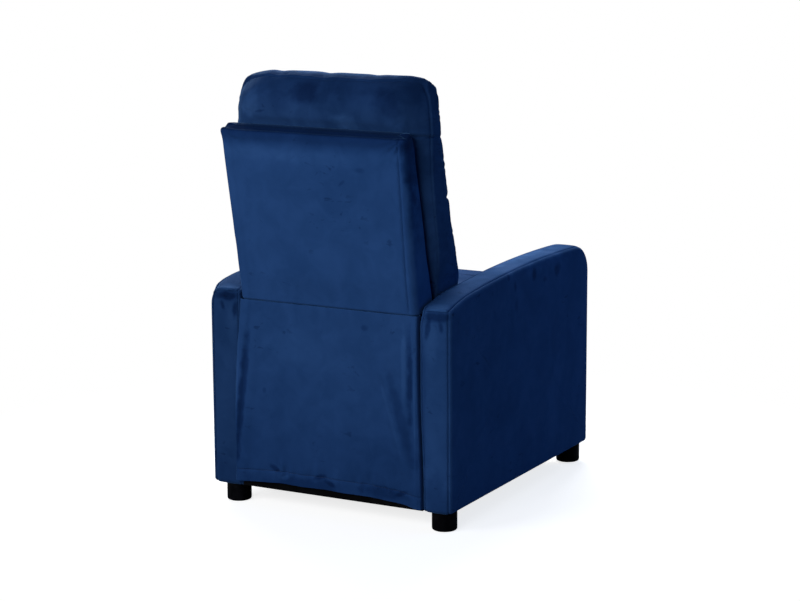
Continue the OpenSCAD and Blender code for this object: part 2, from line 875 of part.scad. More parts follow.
module footrest_bracket(side) {
    edge = link_w / 2 + plate / 2;
    color("#2a2c30")
    on_side(side)
    difference() {
        union() {
            upright(layer_x(3), plate)
                hull() {
                    translate(rest_pivot) circle(r = edge, $fn = fine);
                    translate(rest_toe) circle(r = edge, $fn = fine);
                    translate([rest_board_end, rest_toe[1] - rest_flange_up])
                        square([plate, rest_pivot[1] - rest_toe[1] + 2 * rest_flange_up]);
                }
            block(
                layer_x(3) - rest_flange_w, layer_x(3) + plate,
                rest_board_end, rest_board_end + plate,
                rest_toe[1] - rest_flange_up, rest_pivot[1] + rest_flange_up
            );
        }
        for (p = [rest_pivot, rest_toe])
            rod(p[0], p[1], rivet_d, layer_x(3) - over, layer_x(3) + plate + over);
        for (z = rest_screw_zs)
            translate([rest_screw_x, front_y + rest_board_end - over, z])
                rotate([-90, 0, 0])
                    cylinder(d = screw_d + 2 * run_gap, h = plate + 2 * over, $fn = fine);
    }
}

module footrest_rivets() {
    color("#8c9096")
    for (side = [-1, 1])
        on_side(side) {
            rivet(rest_pivot, 3, 4);
            rivet(rest_toe, 1, 3);
        }
}

module footrest_screws() {
    color("#8c9096")
    for (side = [-1, 1])
        on_side(side)
            for (z = rest_screw_zs)
                translate([rest_screw_x, front_y + rest_board_end, z])
                    rotate([-90, 0, 0]) {
                        translate([0, 0, -rest_screw_len])
                            cylinder(d = screw_d, h = rest_screw_len + plate, $fn = fine);
                        translate([0, 0, plate])
                            cylinder(d = screw_head_d, h = plate / 2, $fn = fine);
                    }
}

shell_tuck_z = seam_z + seat_gap;
shell_low_rear_in = 7;

function shell_outline(z_low, t) = [
    [shell_front(z_low) + t / cos(shell_front_lean), z_low],
    [shell_front(shell_front_top[1] - t) + t / cos(shell_front_lean), shell_front_top[1] - t],
    [shell_rear(shell_top_z - t) - t, shell_top_z - t],
    [shell_rear(z_low) - t, z_low],
];

module back_shell() {
    color("#16376b")
    difference() {
        union() {
            hull() {
                upright(-shell_half_w + shell_edge, 2 * (shell_half_w - shell_edge))
                    polygon(shell_outline(shell_tuck_z, 0));
                upright(-shell_half_w + shell_edge / 3, 2 * (shell_half_w - shell_edge / 3))
                    polygon(shell_outline(shell_tuck_z, shell_edge / 3));
                upright(-shell_half_w, 2 * shell_half_w)
                    polygon(shell_outline(shell_tuck_z, shell_edge));
            }
            // The lower part is narrower, to leave room for the hinge
            upright(-shell_half_w + shell_tuck, 2 * (shell_half_w - shell_tuck))
                polygon([
                    [shell_front(shell_bottom_z), shell_bottom_z],
                    [shell_front(shell_tuck_z + over), shell_tuck_z + over],
                    [shell_rear(shell_tuck_z + over) - shell_low_rear_in, shell_tuck_z + over],
                    [shell_rear(shell_bottom_z) - shell_low_rear_in, shell_bottom_z],
                ]);
        }
        upright(-back_frame_half, 2 * back_frame_half)
            polygon(back_cavity(0));
        for (side = [-1, 1])
            on_side(side) {
                // Recess for the clip and the end of the hinge pin
                rod(
                    hinge_back, hinge_z, hinge_pin_d * 2,
                    bracket_x - pin_clip_t - 4 * seat_gap, shell_half_w
                );
                for (p = back_bolt_places)
                    rod(p[0], p[1], bolt_d + 2 * run_gap, back_frame_half - over, shell_half_w + over);
            }
    }
}

back_frame_half = shell_half_w - shell_tuck - shell_wall;
// The space inside the shell, drawn in further by the distance t
function back_cavity(t) =
    let (
        in = shell_wall + t,
        low = shell_bottom_z + in,
        high = shell_top_z - in,
        slant = in / cos(shell_front_lean)
    )
    [
        [shell_front(low) + slant, low],
        [shell_front(high) + slant, high],
        [shell_rear(high) - in - shell_low_rear_in, high],
        [shell_rear(low) - in - shell_low_rear_in, low],
    ];
back_rail_w = 60;

module back_frame() {
    half = back_frame_half - seat_gap;
    window_w = 2 * (half - back_rail_w);
    low = shell_bottom_z + shell_wall + back_rail_w;
    high = shell_top_z - shell_wall - back_rail_w;
    mid = (low + high) / 2;
    color("#c9a878")
    difference() {
        upright(-half, 2 * half)
            polygon(back_cavity(seat_gap));
        for (z = [[low, mid - back_rail_w / 2], [mid + back_rail_w / 2, high]])
            block(-window_w / 2, window_w / 2, 0, 2 * arm_depth, z[0], z[1]);
        for (side = [-1, 1])
            on_side(side)
                for (p = back_bolt_places)
                    rod(p[0], p[1], bolt_d + 2 * run_gap, half - back_bolt_in, half + over);
    }
}

back_bolt_in = 20;
back_bolt_places = [
    for (up = [bracket_len / 2, bracket_len - bracket_w / 2]) [hinge_back, hinge_z + up],
];

module back_bracket(side) {
    color("#2a2c30")
    on_side(side)
    difference() {
        upright(bracket_x, plate)
            hull()
                for (up = [0, bracket_len - bracket_w / 2])
                    translate([hinge_back, hinge_z + up]) circle(d = bracket_w, $fn = smooth);
        rod(hinge_back, hinge_z, hinge_pin_d + 2 * run_gap, bracket_x - over, bracket_x + plate + over);
        for (p = back_bolt_places)
            rod(p[0], p[1], bolt_d + 2 * run_gap, bracket_x - over, bracket_x + plate + over);
    }
}

module back_bolts() {
    half = back_frame_half - seat_gap;
    color("#8c9096")
    for (side = [-1, 1])
        on_side(side)
            for (p = back_bolt_places) {
                rod(p[0], p[1], bolt_head_d, bracket_x + plate, bracket_x + plate + bolt_head_t);
                rod(p[0], p[1], bolt_d, half - back_bolt_in + over, bracket_x + plate + bolt_head_t);
            }
}

// Levels of the back cushion from its bottom to its top, as shares of its height,
// its half width, and its thickness before and behind the shell's front face
back_level_shares = [
    [0, 0.85, 0.42, 0.12], [0.015, 0.905, 0.62, 0.03], [0.05, 0.93, 0.78, 0.003],
    [0.12, 0.94, 0.86, 0.003], [0.2, 0.955, 0.97, 0.003], [0.29, 0.98, 0.975, 0.003],
    [0.323, 0.972, 0.9, 0.003], [0.356, 0.985, 0.97, 0.003], [0.42, 1, 0.985, 0.003],
    [0.472, 0.99, 0.93, 0.003], [0.494, 0.967, 0.84, 0.003], [0.516, 0.99, 0.93, 0.003],
    [0.586, 1, 0.995, 0.003], [0.679, 1, 1, 0.003], [0.73, 0.99, 0.95, 0.003],
    [0.753, 0.967, 0.87, 0.003], [0.776, 0.99, 0.97, 0.003], [0.827, 1, 1.03, 0.03],
    [0.891, 0.988, 1.03, 0.09], [0.937, 0.955, 0.97, 0.17], [0.97, 0.9, 0.84, 0.26],
    [0.991, 0.82, 0.7, 0.36], [1, 0.72, 0.6, 0.46],
];
back_ring_points = 44;
back_exponent = 3.4;

module back_cushion() {
    rings = len(back_level_shares);
    tall = back_top_z - back_bottom_z;
    points = [
        for (s = back_level_shares)
            let (
                z = back_bottom_z + tall * s[0],
                face = front_y + shell_front(z),
                y_low = face - back_thick * s[2],
                y_high = face - back_thick * s[3]
            )
            for (p = oval_ring(back_half_w * s[1], (y_high - y_low) / 2, z, back_ring_points, back_exponent))
                [p[0], p[1] + (y_high + y_low) / 2, p[2]],
    ];
    first = back_level_shares[0];
    last = back_level_shares[rings - 1];
    mid_low = front_y + shell_front(back_bottom_z) - back_thick * (first[2] + first[3]) / 2;
    mid_high = front_y + shell_front(back_top_z) - back_thick * (last[2] + last[3]) / 2;
    color("#16376b")
    polyhedron(
        points = concat(points, [[0, mid_low, back_bottom_z], [0, mid_high, back_top_z]]),
        faces = ring_faces(rings, back_ring_points),
        convexity = 4
    );
}

// The cloth behind the chair hangs from the seam, with its folds deepening downwards
cloth_columns = 26;
cloth_rows = 12;
cloth_stand = 3;
function bump(u, at, spread) = exp(-pow((u - at) / spread, 2));
// Depth of the folds at shares u across, from -X to +X, and v down
function cloth_wave(u, v) = cloth_fold * (
    v * bump(u, 0.93, 0.03) + 0.7 * v * bump(u, 0.3 + 0.35 * v, 0.07)
    + 0.5 * v * bump(u, 0.08, 0.04) + 0.6 * v * v * bump(u, 0.5, 0.3)
);
function cloth_point(u, v, out) =
    let (
        left = shell_half_w + cloth_flare_left * v,
        right = -shell_half_w - cloth_flare_right * v
    )
    [
        right + (left - right) * u,
        front_y + arm_depth + cloth_stand + cloth_wave(u, v) + out,
        seam_z - (seam_z - cloth_bottom_z) * v
    ];

module rear_cloth() {
    nx = cloth_columns;
    nz = cloth_rows;
    side_points = (nx + 1) * (nz + 1);
    points = [
        for (out = [0, cloth_t]) for (k = [0:nz]) for (i = [0:nx]) cloth_point(i / nx, k / nz, out),
    ];
    at = function (s, i, k) s * side_points + k * (nx + 1) + i;
    faces = concat(
        [for (k = [0:nz - 1]) for (i = [0:nx - 1]) [at(0, i, k), at(0, i + 1, k), at(0, i + 1, k + 1)]],
        [for (k = [0:nz - 1]) for (i = [0:nx - 1]) [at(0, i, k), at(0, i + 1, k + 1), at(0, i, k + 1)]],
        [for (k = [0:nz - 1]) for (i = [0:nx - 1]) [at(1, i, k), at(1, i + 1, k + 1), at(1, i + 1, k)]],
        [for (k = [0:nz - 1]) for (i = [0:nx - 1]) [at(1, i, k), at(1, i, k + 1), at(1, i + 1, k + 1)]],
        [for (i = [0:nx - 1]) for (k = [0, nz]) for (f = k == 0 ? [0, 1] : [2, 3]) edge_across(at, i, k, f)],
        [for (k = [0:nz - 1]) for (i = [0, nx]) for (f = i == 0 ? [0, 1] : [2, 3]) edge_down(at, i, k, f)]
    );
    color("#16376b")
    polyhedron(points = points, faces = faces, convexity = 6);
}
// The two triangles of each short piece of the cloth's edge
function edge_across(at, i, k, f) =
    f == 0 ? [at(0, i, k), at(1, i, k), at(1, i + 1, k)]
    : f == 1 ? [at(0, i, k), at(1, i + 1, k), at(0, i + 1, k)]
    : f == 2 ? [at(0, i, k), at(1, i + 1, k), at(1, i, k)]
    : [at(0, i, k), at(0, i + 1, k), at(1, i + 1, k)];
function edge_down(at, i, k, f) =
    f == 0 ? [at(0, i, k), at(1, i, k + 1), at(1, i, k)]
    : f == 1 ? [at(0, i, k), at(0, i, k + 1), at(1, i, k + 1)]
    : f == 2 ? [at(0, i, k), at(1, i, k), at(1, i, k + 1)]
    : [at(0, i, k), at(1, i, k + 1), at(0, i, k + 1)];

arm_cover(1);  // arm_cover_left
arm_cover(-1);  // arm_cover_right
arm_frame(1);  // arm_frame_left
arm_frame(-1);  // arm_frame_right
foot(1, foot_backs[0]);  // foot_front_left
foot(-1, foot_backs[0]);  // foot_front_right
foot(1, foot_backs[1]);  // foot_rear_left
foot(-1, foot_backs[1]);  // foot_rear_right
foot_bolts();
front_cross_rail();
rear_cross_rail();
corner_brackets();
glide_rail(1);  // glide_rail_left
glide_rail(-1);  // glide_rail_right
rail_bolts();
back_hinge_plate(1);  // back_hinge_plate_left
back_hinge_plate(-1);  // back_hinge_plate_right
back_hinge_pins();
hinge_bolts();
seat_frame();
seat_springs();
seat_cushion();
side_plate(1);  // side_plate_left
side_plate(-1);  // side_plate_right
glide_blocks();
seat_screws();
seat_rivets();
front_link(1);  // front_link_left
front_link(-1);  // front_link_right
front_link_tie();
front_link_rivets();
support_link(1);  // support_link_left
support_link(-1);  // support_link_right
long_link(1);  // long_link_left
long_link(-1);  // long_link_right
long_link_rivets(1);  // long_link_rivets_left
long_link_rivets(-1);  // long_link_rivets_right
upper_link(1);  // upper_link_left
upper_link(-1);  // upper_link_right
footrest_board();
footrest_pad();
footrest_bracket(1);  // footrest_bracket_left
footrest_bracket(-1);  // footrest_bracket_right
footrest_rivets();
footrest_screws();
back_frame();
back_shell();
back_cushion();
back_bracket(1);  // back_bracket_left
back_bracket(-1);  // back_bracket_right
back_bolts();
rear_cloth();
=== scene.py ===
import itertools
import json
import math

import bmesh
import bpy
import numpy as np
from mathutils import Matrix, Vector


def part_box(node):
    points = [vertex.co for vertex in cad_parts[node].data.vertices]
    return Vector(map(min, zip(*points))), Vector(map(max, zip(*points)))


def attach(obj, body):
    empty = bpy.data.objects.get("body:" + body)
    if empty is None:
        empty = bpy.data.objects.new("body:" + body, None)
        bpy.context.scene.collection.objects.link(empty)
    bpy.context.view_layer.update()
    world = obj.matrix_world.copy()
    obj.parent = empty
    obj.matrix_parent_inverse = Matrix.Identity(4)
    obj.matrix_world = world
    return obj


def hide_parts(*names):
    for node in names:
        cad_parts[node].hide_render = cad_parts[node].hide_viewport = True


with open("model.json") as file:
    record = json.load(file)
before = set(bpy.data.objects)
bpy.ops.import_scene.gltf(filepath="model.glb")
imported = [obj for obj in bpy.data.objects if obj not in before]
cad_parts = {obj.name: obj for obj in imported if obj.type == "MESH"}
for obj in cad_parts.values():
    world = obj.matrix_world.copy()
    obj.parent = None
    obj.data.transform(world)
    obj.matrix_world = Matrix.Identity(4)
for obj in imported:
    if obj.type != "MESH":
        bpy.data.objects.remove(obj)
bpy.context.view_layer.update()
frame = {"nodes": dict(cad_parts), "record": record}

# Looks of a push-back reclining armchair in navy velvet.
# Lengths are in millimetres, and meshes are turned into metres as they are made.
# The sitter faces -Y. A set-back is a distance behind the front of the arms.
MM = 0.001


def box_mm(node):
    """Lowest and highest corner of a node of the frame, in millimetres."""
    low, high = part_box(node)
    return np.array(low) / MM, np.array(high) / MM


ARM_LOW, ARM_HIGH = box_mm("arm_cover_left")
SHELL_LOW, SHELL_HIGH = box_mm("back_shell")
BACK_HIGH = box_mm("back_cushion")[1]
SEAT_LOW, SEAT_HIGH = box_mm("seat_cushion")
REST_LOW, REST_HIGH = box_mm("footrest_pad")

FRONT_Y = ARM_LOW[1]
INNER_X = ARM_LOW[0]
ARM_THICK = ARM_HIGH[0] - ARM_LOW[0]
ARM_DEPTH = ARM_HIGH[1] - ARM_LOW[1]
ARM_BOTTOM = ARM_LOW[2]
ARM_TOP = ARM_HIGH[2]
# The back cushion keeps this far from the casing, and the cushions this far from the arms
CLEAR, ARM_GAP = 0.4, 2.6


# Small maths

def bell(x, at, spread):
    """1 at a place, falling to 0 on both sides of it."""
    return np.exp(-(((x - at) / spread) ** 2))


def ramp(x, low, high):
    """0 below low, 1 above high, and smooth in between."""
    t = np.clip((x - low) / (high - low), 0, 1)
    return t * t * (3 - 2 * t)


def ripple(points, size, seed):
    """Smooth noise from -1 to 1 at each point, with lumps about size millimetres across."""
    p = np.asarray(points, float) / size + 37.7 * seed
    cell = np.floor(p).astype(np.int64)
    t = p - cell
    t = t * t * (3 - 2 * t)
    total = np.zeros(p.shape[:-1])
    for corner in itertools.product((0, 1), repeat=p.shape[-1]):
        key = np.zeros(p.shape[:-1], np.int64)
        weight = np.ones(p.shape[:-1])
        for axis, (side, prime) in enumerate(zip(corner, (73856093, 19349663, 83492791))):
            key ^= (cell[..., axis] + side) * prime
            weight = weight * (t[..., axis] if side else 1 - t[..., axis])
        key = (key ^ (key >> 13)) * 1274126177 & 0x7FFFFFFF
        key = (key ^ (key >> 11)) * 668265263 & 0x7FFFFFFF
        total += weight * (key / 0x3FFFFFFF - 1)
    return total


def wave(s, size, seed):
    """Smooth noise along one measure."""
    flat = np.stack([s, np.zeros_like(s)], -1)
    return ripple(flat, size, seed)


def arc(centre, radius, start, end, count):
    """Points of an arc, with angles in degrees."""
    a = np.radians(np.linspace(start, end, count))
    return np.stack([centre[0] + radius * np.cos(a), centre[1] + radius * np.sin(a)], -1)


def length_of(vectors):
    return np.linalg.norm(vectors, axis=-1)


def as_loop(line):
    """A line of points that comes back to its first."""
    return np.vstack([line, line[:1]])


def run_along(line):
    """Distance along a line of points to each of them."""
    return np.concatenate([[0], np.cumsum(length_of(np.diff(line, axis=0)))])


def at_runs(line, runs):
    """Points of a line at given distances along it."""
    run = run_along(line)
    return np.stack([np.interp(runs, run, column) for column in line.T], -1)


def square_out(along):
    """Unit vectors at right angles to flat directions, on their right."""
    return np.stack([along[:, 1], -along[:, 0]], -1) / length_of(along)[:, None]


def quarter(distance, reach):
    """Rises like a quarter of an ellipse from 0 at an edge to 1."""
    return np.sqrt(1 - (1 - np.clip(distance / reach, 0, 1)) ** 2)


# Mesh helpers

def add_object(name, data):
    made = bpy.data.objects.new(name, data)
    bpy.context.scene.collection.objects.link(made)
    return made


def new_piece(name, vertices, faces):
    """A smooth mesh object from points in millimetres, with its faces turned outwards."""
    mesh = bpy.data.meshes.new(name)
    mesh.from_pydata((np.asarray(vertices) * MM).reshape(-1, 3).tolist(), [], faces)
    work = bmesh.new()
    work.from_mesh(mesh)
    bmesh.ops.remove_doubles(work, verts=work.verts, dist=0.02 * MM)
    bmesh.ops.recalc_face_normals(work, faces=work.faces)
    work.to_mesh(mesh)
    work.free()
    mesh.shade_smooth()
    return add_object(name, mesh)


def band_faces(rows, count, closed=True, first=0):
    """Faces between rows of points, each row closed on itself or open."""
    faces = []
    for k in range(rows - 1):
        for i in range(count if closed else count - 1):
            j = (i + 1) % count
            a, b = first + k * count, first + (k + 1) * count
            faces.append((a + i, a + j, b + j, b + i))
    return faces


def surface_of(piece):
    """The points of a mesh in millimetres, and the directions that they face."""
    flat = np.zeros((2, len(piece.data.vertices) * 3))
    for row, what in zip(flat, ("co", "normal")):
        piece.data.vertices.foreach_get(what, row)
    points, normals = flat.reshape(2, -1, 3)
    return points / MM, normals


def move_points(piece, points):
    """Puts the points of a mesh at new places, in millimetres."""
    piece.data.vertices.foreach_set("co", (points * MM).ravel())
    piece.data.update()


def apply_modifiers(piece):
    """Turns what the modifiers show into the mesh itself."""
    graph = bpy.context.evaluated_depsgraph_get()
    mesh = bpy.data.meshes.new_from_object(piece.evaluated_get(graph))
    piece.modifiers.clear()
    piece.data = mesh
    mesh.shade_smooth()


# A cushion is filled over these frames, and no point of it moves further than this
FILL_FRAMES = 20
FILL_REACH = 24


def inflate(piece, voxel, seams):
    """Fills a closed mesh like a cushion: it is remeshed, swollen as cloth, and smoothed.

    seams tells from the points which ones are sewn and stay where they are."""
    remesh = piece.modifiers.new("even", "REMESH")
    remesh.mode = "VOXEL"
    remesh.voxel_size = voxel * MM
    apply_modifiers(piece)
    start, _ = surface_of(piece)
    cloth = piece.modifiers.new("fill", "CLOTH")
    settings = cloth.settings
    settings.quality = 5
    settings.mass = 0.3
    settings.tension_stiffness = 15
    settings.compression_stiffness = 15
    settings.bending_stiffness = 0.5
    settings.use_pressure = True
    settings.uniform_pressure_force = 4.0
    settings.effector_weights.gravity = 0
    sewn = piece.vertex_groups.new(name="sewn")
    sewn.add(np.flatnonzero(seams(start)).tolist(), 1.0, "REPLACE")
    settings.vertex_group_mass = sewn.name
    cloth.point_cache.frame_start = 1
    cloth.point_cache.frame_end = FILL_FRAMES
    for number in range(1, FILL_FRAMES + 1):
        bpy.context.scene.frame_set(number)
    apply_modifiers(piece)
    bpy.context.scene.frame_set(1)
    moved = surface_of(piece)[0] - start
    length = length_of(moved)[:, None]
    move_points(piece, start + moved * np.minimum(1, FILL_REACH / np.maximum(length, 1e-6)))
    smooth = piece.modifiers.new("smooth", "SUBSURF")
    smooth.levels = smooth.render_levels = 1
    apply_modifiers(piece)


# Materials

def join(tree, value, socket):
    """Links an output, or sets a plain value. Colours come without their alpha."""
    if isinstance(value, bpy.types.NodeSocket):
        tree.links.new(value, socket)
    elif socket.type == "RGBA":
        socket.default_value = (*value, 1.0)
    else:
        socket.default_value = value


def add_node(tree, kind, inputs, output=0, **settings):
    """Adds a node with these settings and inputs, and returns one of its outputs."""
    node = tree.nodes.new(kind)
    for key, value in settings.items():
        setattr(node, key, value)
    for key, value in inputs.items():
        join(tree, value, node.inputs[key])
    return node.outputs[output]


class Nodes:
    """A material's node tree, with short calls for the nodes used here."""

    def __init__(self, name):
        self.material = bpy.data.materials.new(name)
        self.material.use_nodes = True
        self.tree = self.material.node_tree
        self.shader = self.tree.nodes["Principled BSDF"]
        self.place = self.add("ShaderNodeTexCoord", {}, "Object")

    def add(self, *node, **settings):
        return add_node(self.tree, *node, **settings)

    def stretch(self, scale, turn=0.0):
        """The object's own coordinates, turned about Y by degrees and scaled."""
        turns = (0, math.radians(turn), 0)
        return self.add("ShaderNodeMapping", {"Vector": self.place, "Rotation": turns, "Scale": scale})

    def noise(self, scale, detail=2.0, distortion=0.0, vector=None):
        inputs = {"Scale": scale, "Detail": detail, "Distortion": distortion}
        return self.add("ShaderNodeTexNoise", {"Vector": vector or self.place, **inputs}, "Fac")

    def span(self, value, low, high, to_low=0.0, to_high=1.0):
        """Maps a value smoothly from one range to another."""
        inputs = {"Value": value, "From Min": low, "From Max": high, "To Min": to_low, "To Max": to_high}
        return self.add("ShaderNodeMapRange", inputs, "Result", interpolation_type="SMOOTHSTEP")

    def math(self, operation, a, b):
        return self.add("ShaderNodeMath", {0: a, 1: b}, operation=operation)

    def vector_math(self, operation, *values, output="Vector"):
        return self.add("ShaderNodeVectorMath", dict(enumerate(values)), output, operation=operation)

    def mix(self, factor, a, b):
        return self.add("ShaderNodeMix", {"Factor": factor, "A": a, "B": b}, "Result", data_type="RGBA")

    def by_height(self, shades, tone):
        """A tone times each painted shade: two heights in millimetres and the share left at the first."""
        height = self.add("ShaderNodeSeparateXYZ", {0: self.place}, "Z")
        for at, clear, share in shades:
            low, high = sorted((at, clear))
            ends = (share, 1.0) if at < clear else (1.0, share)
            tone = self.math("MULTIPLY", self.span(height, low * MM, high * MM, *ends), tone)
        return tone

    def by_place(self, brushed, tone):
        """A tone times each place painted lighter or darker, for painted light and shade and for a few
        brushed marks: centre and reach in millimetres, tilt and share.
        """
        uneven = self.math("MULTIPLY", self.math("SUBTRACT", self.noise(34.0, 3.0), 0.5), 1.1)
        for centre, reach, tilt, share in brushed:
            local = self.add("ShaderNodeMapping", {
                "Vector": self.place, "Location": [c * MM for c in centre],
                "Rotation": (0, math.radians(tilt), 0), "Scale": [c * MM for c in reach],
            }, vector_type="TEXTURE")
            away = self.vector_math("LENGTH", local, output="Value")
            distance = self.math("ADD", away, uneven)
            tone = self.math("MULTIPLY", self.span(distance, 0.3, 1.0, share, 1.0), tone)
        return tone

    def toned(self, colour, tone):
        """A colour times a tone, which moves red the most and blue the least."""
        powers = {k: self.math("POWER", tone, power) for k, power in enumerate(TONE_POWERS)}
        return self.vector_math("MULTIPLY", colour, self.add("ShaderNodeCombineXYZ", powers))

    def bump(self, height, distance, strength, **below):
        """A relief of a depth in millimetres. Normal is the one that it lies on."""
        inputs = {"Distance": distance * MM, "Strength": strength, "Height": height, **below}
        return self.add("ShaderNodeBump", inputs, "Normal")

    def finish(self, **sockets):
        """Sets the shader's sockets, by their names with _ for a space."""
        for name, value in sockets.items():
            join(self.tree, value, self.shader.inputs[name.replace("_", " ")])
        return self.material


NAVY = (0.0150, 0.0545, 0.1740)
# How the pile's tone goes from its dark patches to its light ones, at full contrast
NAVY_DARK_SHARE = (0.42, 0.5, 0.56)
NAVY_LIGHT_SHARE = (1.9, 1.56, 1.44)
SHEEN_TINT = (0.2, 0.5, 1.0)
# How red, green and blue follow the painted light and shade and the brushed marks
TONE_POWERS = (1.33, 1.0, 0.74)


def velvet(name, lay=1.0, contrast=0.5, turn=0.0, marks=0.5, shades=(), brushed=()):
    """Navy velvet: how light it is painted (its nap, and painted light and shade per piece), how uneven it
    is, how its marks turn and show, painted shade by height, and places of painted light and shade.
    """
    nodes = Nodes(name)

    def tint(shares, strength):
        return [lay * c * (1 + (s - 1) * strength) for c, s in zip(NAVY, shares)]

    patches = nodes.noise(5.5, 3.0, 1.2, nodes.stretch((1, 1, 0.8), turn))
    clouds = nodes.noise(21.0, 3.0, 0.8)
    tone = nodes.math("ADD", nodes.span(patches, 0.3, 0.7, 0, 0.6), nodes.span(clouds, 0.3, 0.7, 0, 0.4))
    colour = nodes.mix(tone, tint(NAVY_DARK_SHARE, contrast), tint(NAVY_LIGHT_SHARE, contrast))
    # Short dark strokes where the pile was brushed the other way, here and there
    where = nodes.span(nodes.noise(8.0), 0.5, 0.66)
    strokes = nodes.noise(60.0, 3.0, 0.7, nodes.stretch((0.7, 0.6, 1.3), turn))
    stroked = nodes.math("MULTIPLY", nodes.span(strokes, 0.61, 0.7), where)
    colour = nodes.mix(nodes.math("MULTIPLY", stroked, marks), colour, tint(NAVY_DARK_SHARE, 1.5))
    # Painted shade by height, and places painted lighter and darker as painted light and shade, with a few
    # brushed marks of the pile
    if shades or brushed:
        colour = nodes.toned(colour, nodes.by_place(brushed, nodes.by_height(shades, 1.0)))
    fibres = nodes.noise(1500.0, 1.0)
    colour = nodes.mix(nodes.span(fibres, 0.3, 0.75, 0, 0.12), colour, tint(NAVY_LIGHT_SHARE, 1.0))
    soft = nodes.bump(nodes.noise(70.0, 3.0, 0.6), 0.8, 0.3)
    return nodes.finish(
        Base_Color=colour,
        Roughness=nodes.span(tone, 0.0, 1.0, 0.95, 0.8),
        Specular_IOR_Level=0.04,
        Sheen_Weight=0.33,
        Sheen_Roughness=0.34,
        Sheen_Tint=SHEEN_TINT,
        Normal=nodes.bump(fibres, 0.3, 0.45, Normal=soft),
    )


def wood(name):
    nodes = Nodes(name)
    grain = nodes.noise(9.0, 6.0, 1.0, nodes.stretch((22, 1.2, 22)))
    rings = nodes.noise(3.0, 2.0, 2.2, nodes.stretch((9, 0.8, 9)))
    colour = nodes.mix(nodes.span(grain, 0.3, 0.7), (0.42, 0.27, 0.13), (0.66, 0.47, 0.26))
    return nodes.finish(
        Base_Color=nodes.mix(nodes.span(rings, 0.42, 0.62, 0.0, 0.4), colour, (0.5, 0.32, 0.16)),
        Roughness=nodes.span(grain, 0.2, 0.8, 0.75, 0.55),
        Normal=nodes.bump(grain, 0.4, 0.4),
    )


def zinc_steel(name):
    nodes = Nodes(name)
    spangle = nodes.noise(160.0, 2.0, 1.2)
    brushed = nodes.noise(60.0, 2.0, 0.0, nodes.stretch((1, 14, 14)))
    return nodes.finish(
        Base_Color=nodes.mix(nodes.span(spangle, 0.3, 0.7), (0.5, 0.51, 0.53), (0.68, 0.69, 0.7)),
        Metallic=1.0,
        Roughness=nodes.span(brushed, 0.3, 0.7, 0.28, 0.45),
        Normal=nodes.bump(brushed, 0.08, 0.4),
    )


def blotched(name, noise, ends, colours, rough, grit, depth, strength, **sockets):
    """Patches of two colours, with a fine relief over them."""
    nodes = Nodes(name)
    patches = nodes.noise(*noise)
    return nodes.finish(
        Base_Color=nodes.mix(nodes.span(patches, *ends), *colours),
        Roughness=nodes.span(patches, 0.3, 0.7, *rough),
        Normal=nodes.bump(nodes.noise(grit), depth, strength),
        **sockets,
    )


def black_plastic(name):
    """Scuffed plastic with a fine grit."""
    return blotched(
        name, noise=(35.0, 4.0, 1.5), ends=(0.5, 0.75), rough=(0.34, 0.52),
        colours=((0.001, 0.001, 0.002), (0.004, 0.004, 0.006)),
        grit=900.0, depth=0.12, strength=0.5, Specular_IOR_Level=0.08,
    )


def black_steel(name):
    """Powder coat with some dust and an orange-peel relief."""
    return blotched(
        name, noise=(22.0, 4.0, 0.8), ends=(0.45, 0.8), rough=(0.42, 0.6),
        colours=((0.0015, 0.0015, 0.002), (0.006, 0.006, 0.008)),
        grit=600.0, depth=0.15, strength=0.6, Specular_IOR_Level=0.07,
    )


def nylon(name):
    """Cloudy natural nylon."""
    return blotched(
        name, noise=(40.0, 3.0), ends=(0.3, 0.7), rough=(0.38, 0.5),
        colours=((0.72, 0.7, 0.64), (0.82, 0.81, 0.77)), grit=700.0, depth=0.08, strength=0.4,
    )


def paint(piece, material):
    piece.data.materials.clear()
    piece.data.materials.append(material)


def cover(piece, **look):
    """Paints a piece with velvet of its own."""
    paint(piece, velvet(piece.name + "_velvet", **look))


def brushed_rows(y, rows, reach=60):
    """Places on a face at y painted lighter or darker, for painted light and shade and a few brushed marks,
    from x, z, half width, half height, tilt and share.
    """
    return [((x, y, z), (wide, reach, tall), tilt, share) for x, z, wide, tall, tilt, share in rows]


# The arms

# Radii of the outline at the upper front, the upper rear and the foot
FRONT_R, REAR_R, FOOT_R = 72, 5, 9
# The top's highest place, and its radius
ARM_PEAK_BACK, ARM_TOP_R = 235, 4200
# Behind this set-back the arm's top falls faster
FALL_BACK, FALL_R = 640, 500
# Shape of an edge between a side panel and the strip round the arm: distance from the
# side face, and how far below the strip's surface. The dip is the seam.
ARM_EDGE = [
    (0, 9), (0, 6.6), (0.25, 4.7), (0.9, 3.1), (1.9, 1.7), (3.1, 0.8), (4.4, 0.35), (5.4, 0.6),
    (6.1, 1.5), (6.6, 2.1), (7.1, 1.4), (7.9, 0.5), (9.4, 0.12), (12, 0),
]
# The outer edge is rounder
ARM_OUTER_EDGE = [
    (0, 13), (0, 9.8), (0.4, 7.2), (1.3, 5.0), (2.6, 3.3), (4.2, 2.0), (5.7, 1.4), (6.7, 1.9),
    (7.4, 3.5), (8.0, 4.5), (8.7, 3.3), (9.7, 1.4), (11.6, 0.4), (15, 0),
]
# How far an arm's rear end is fuller: the sitter's left arm outwards, the right arm inwards
REAR_FULL = {1: 12, -1: 7.5}
# The upper rear corner on that edge is worn down by this much, over this reach
REAR_WORN = {1: (9, 20), -1: (4.5, 14)}
SIDE_RINGS = 30
# The strip's front seam lies this far below the arm's top
FRONT_SEAM_DROP = 84
# Padding stands out of an arm's inner face by no more than this
INNER_PUFF = 1.8
# How light the left and the right arm are painted: partly the lay of their pile, partly painted light and
# shade
ARM_NAP_AND_PAINTED_LIGHT = {1: 0.85, -1: 1.08}
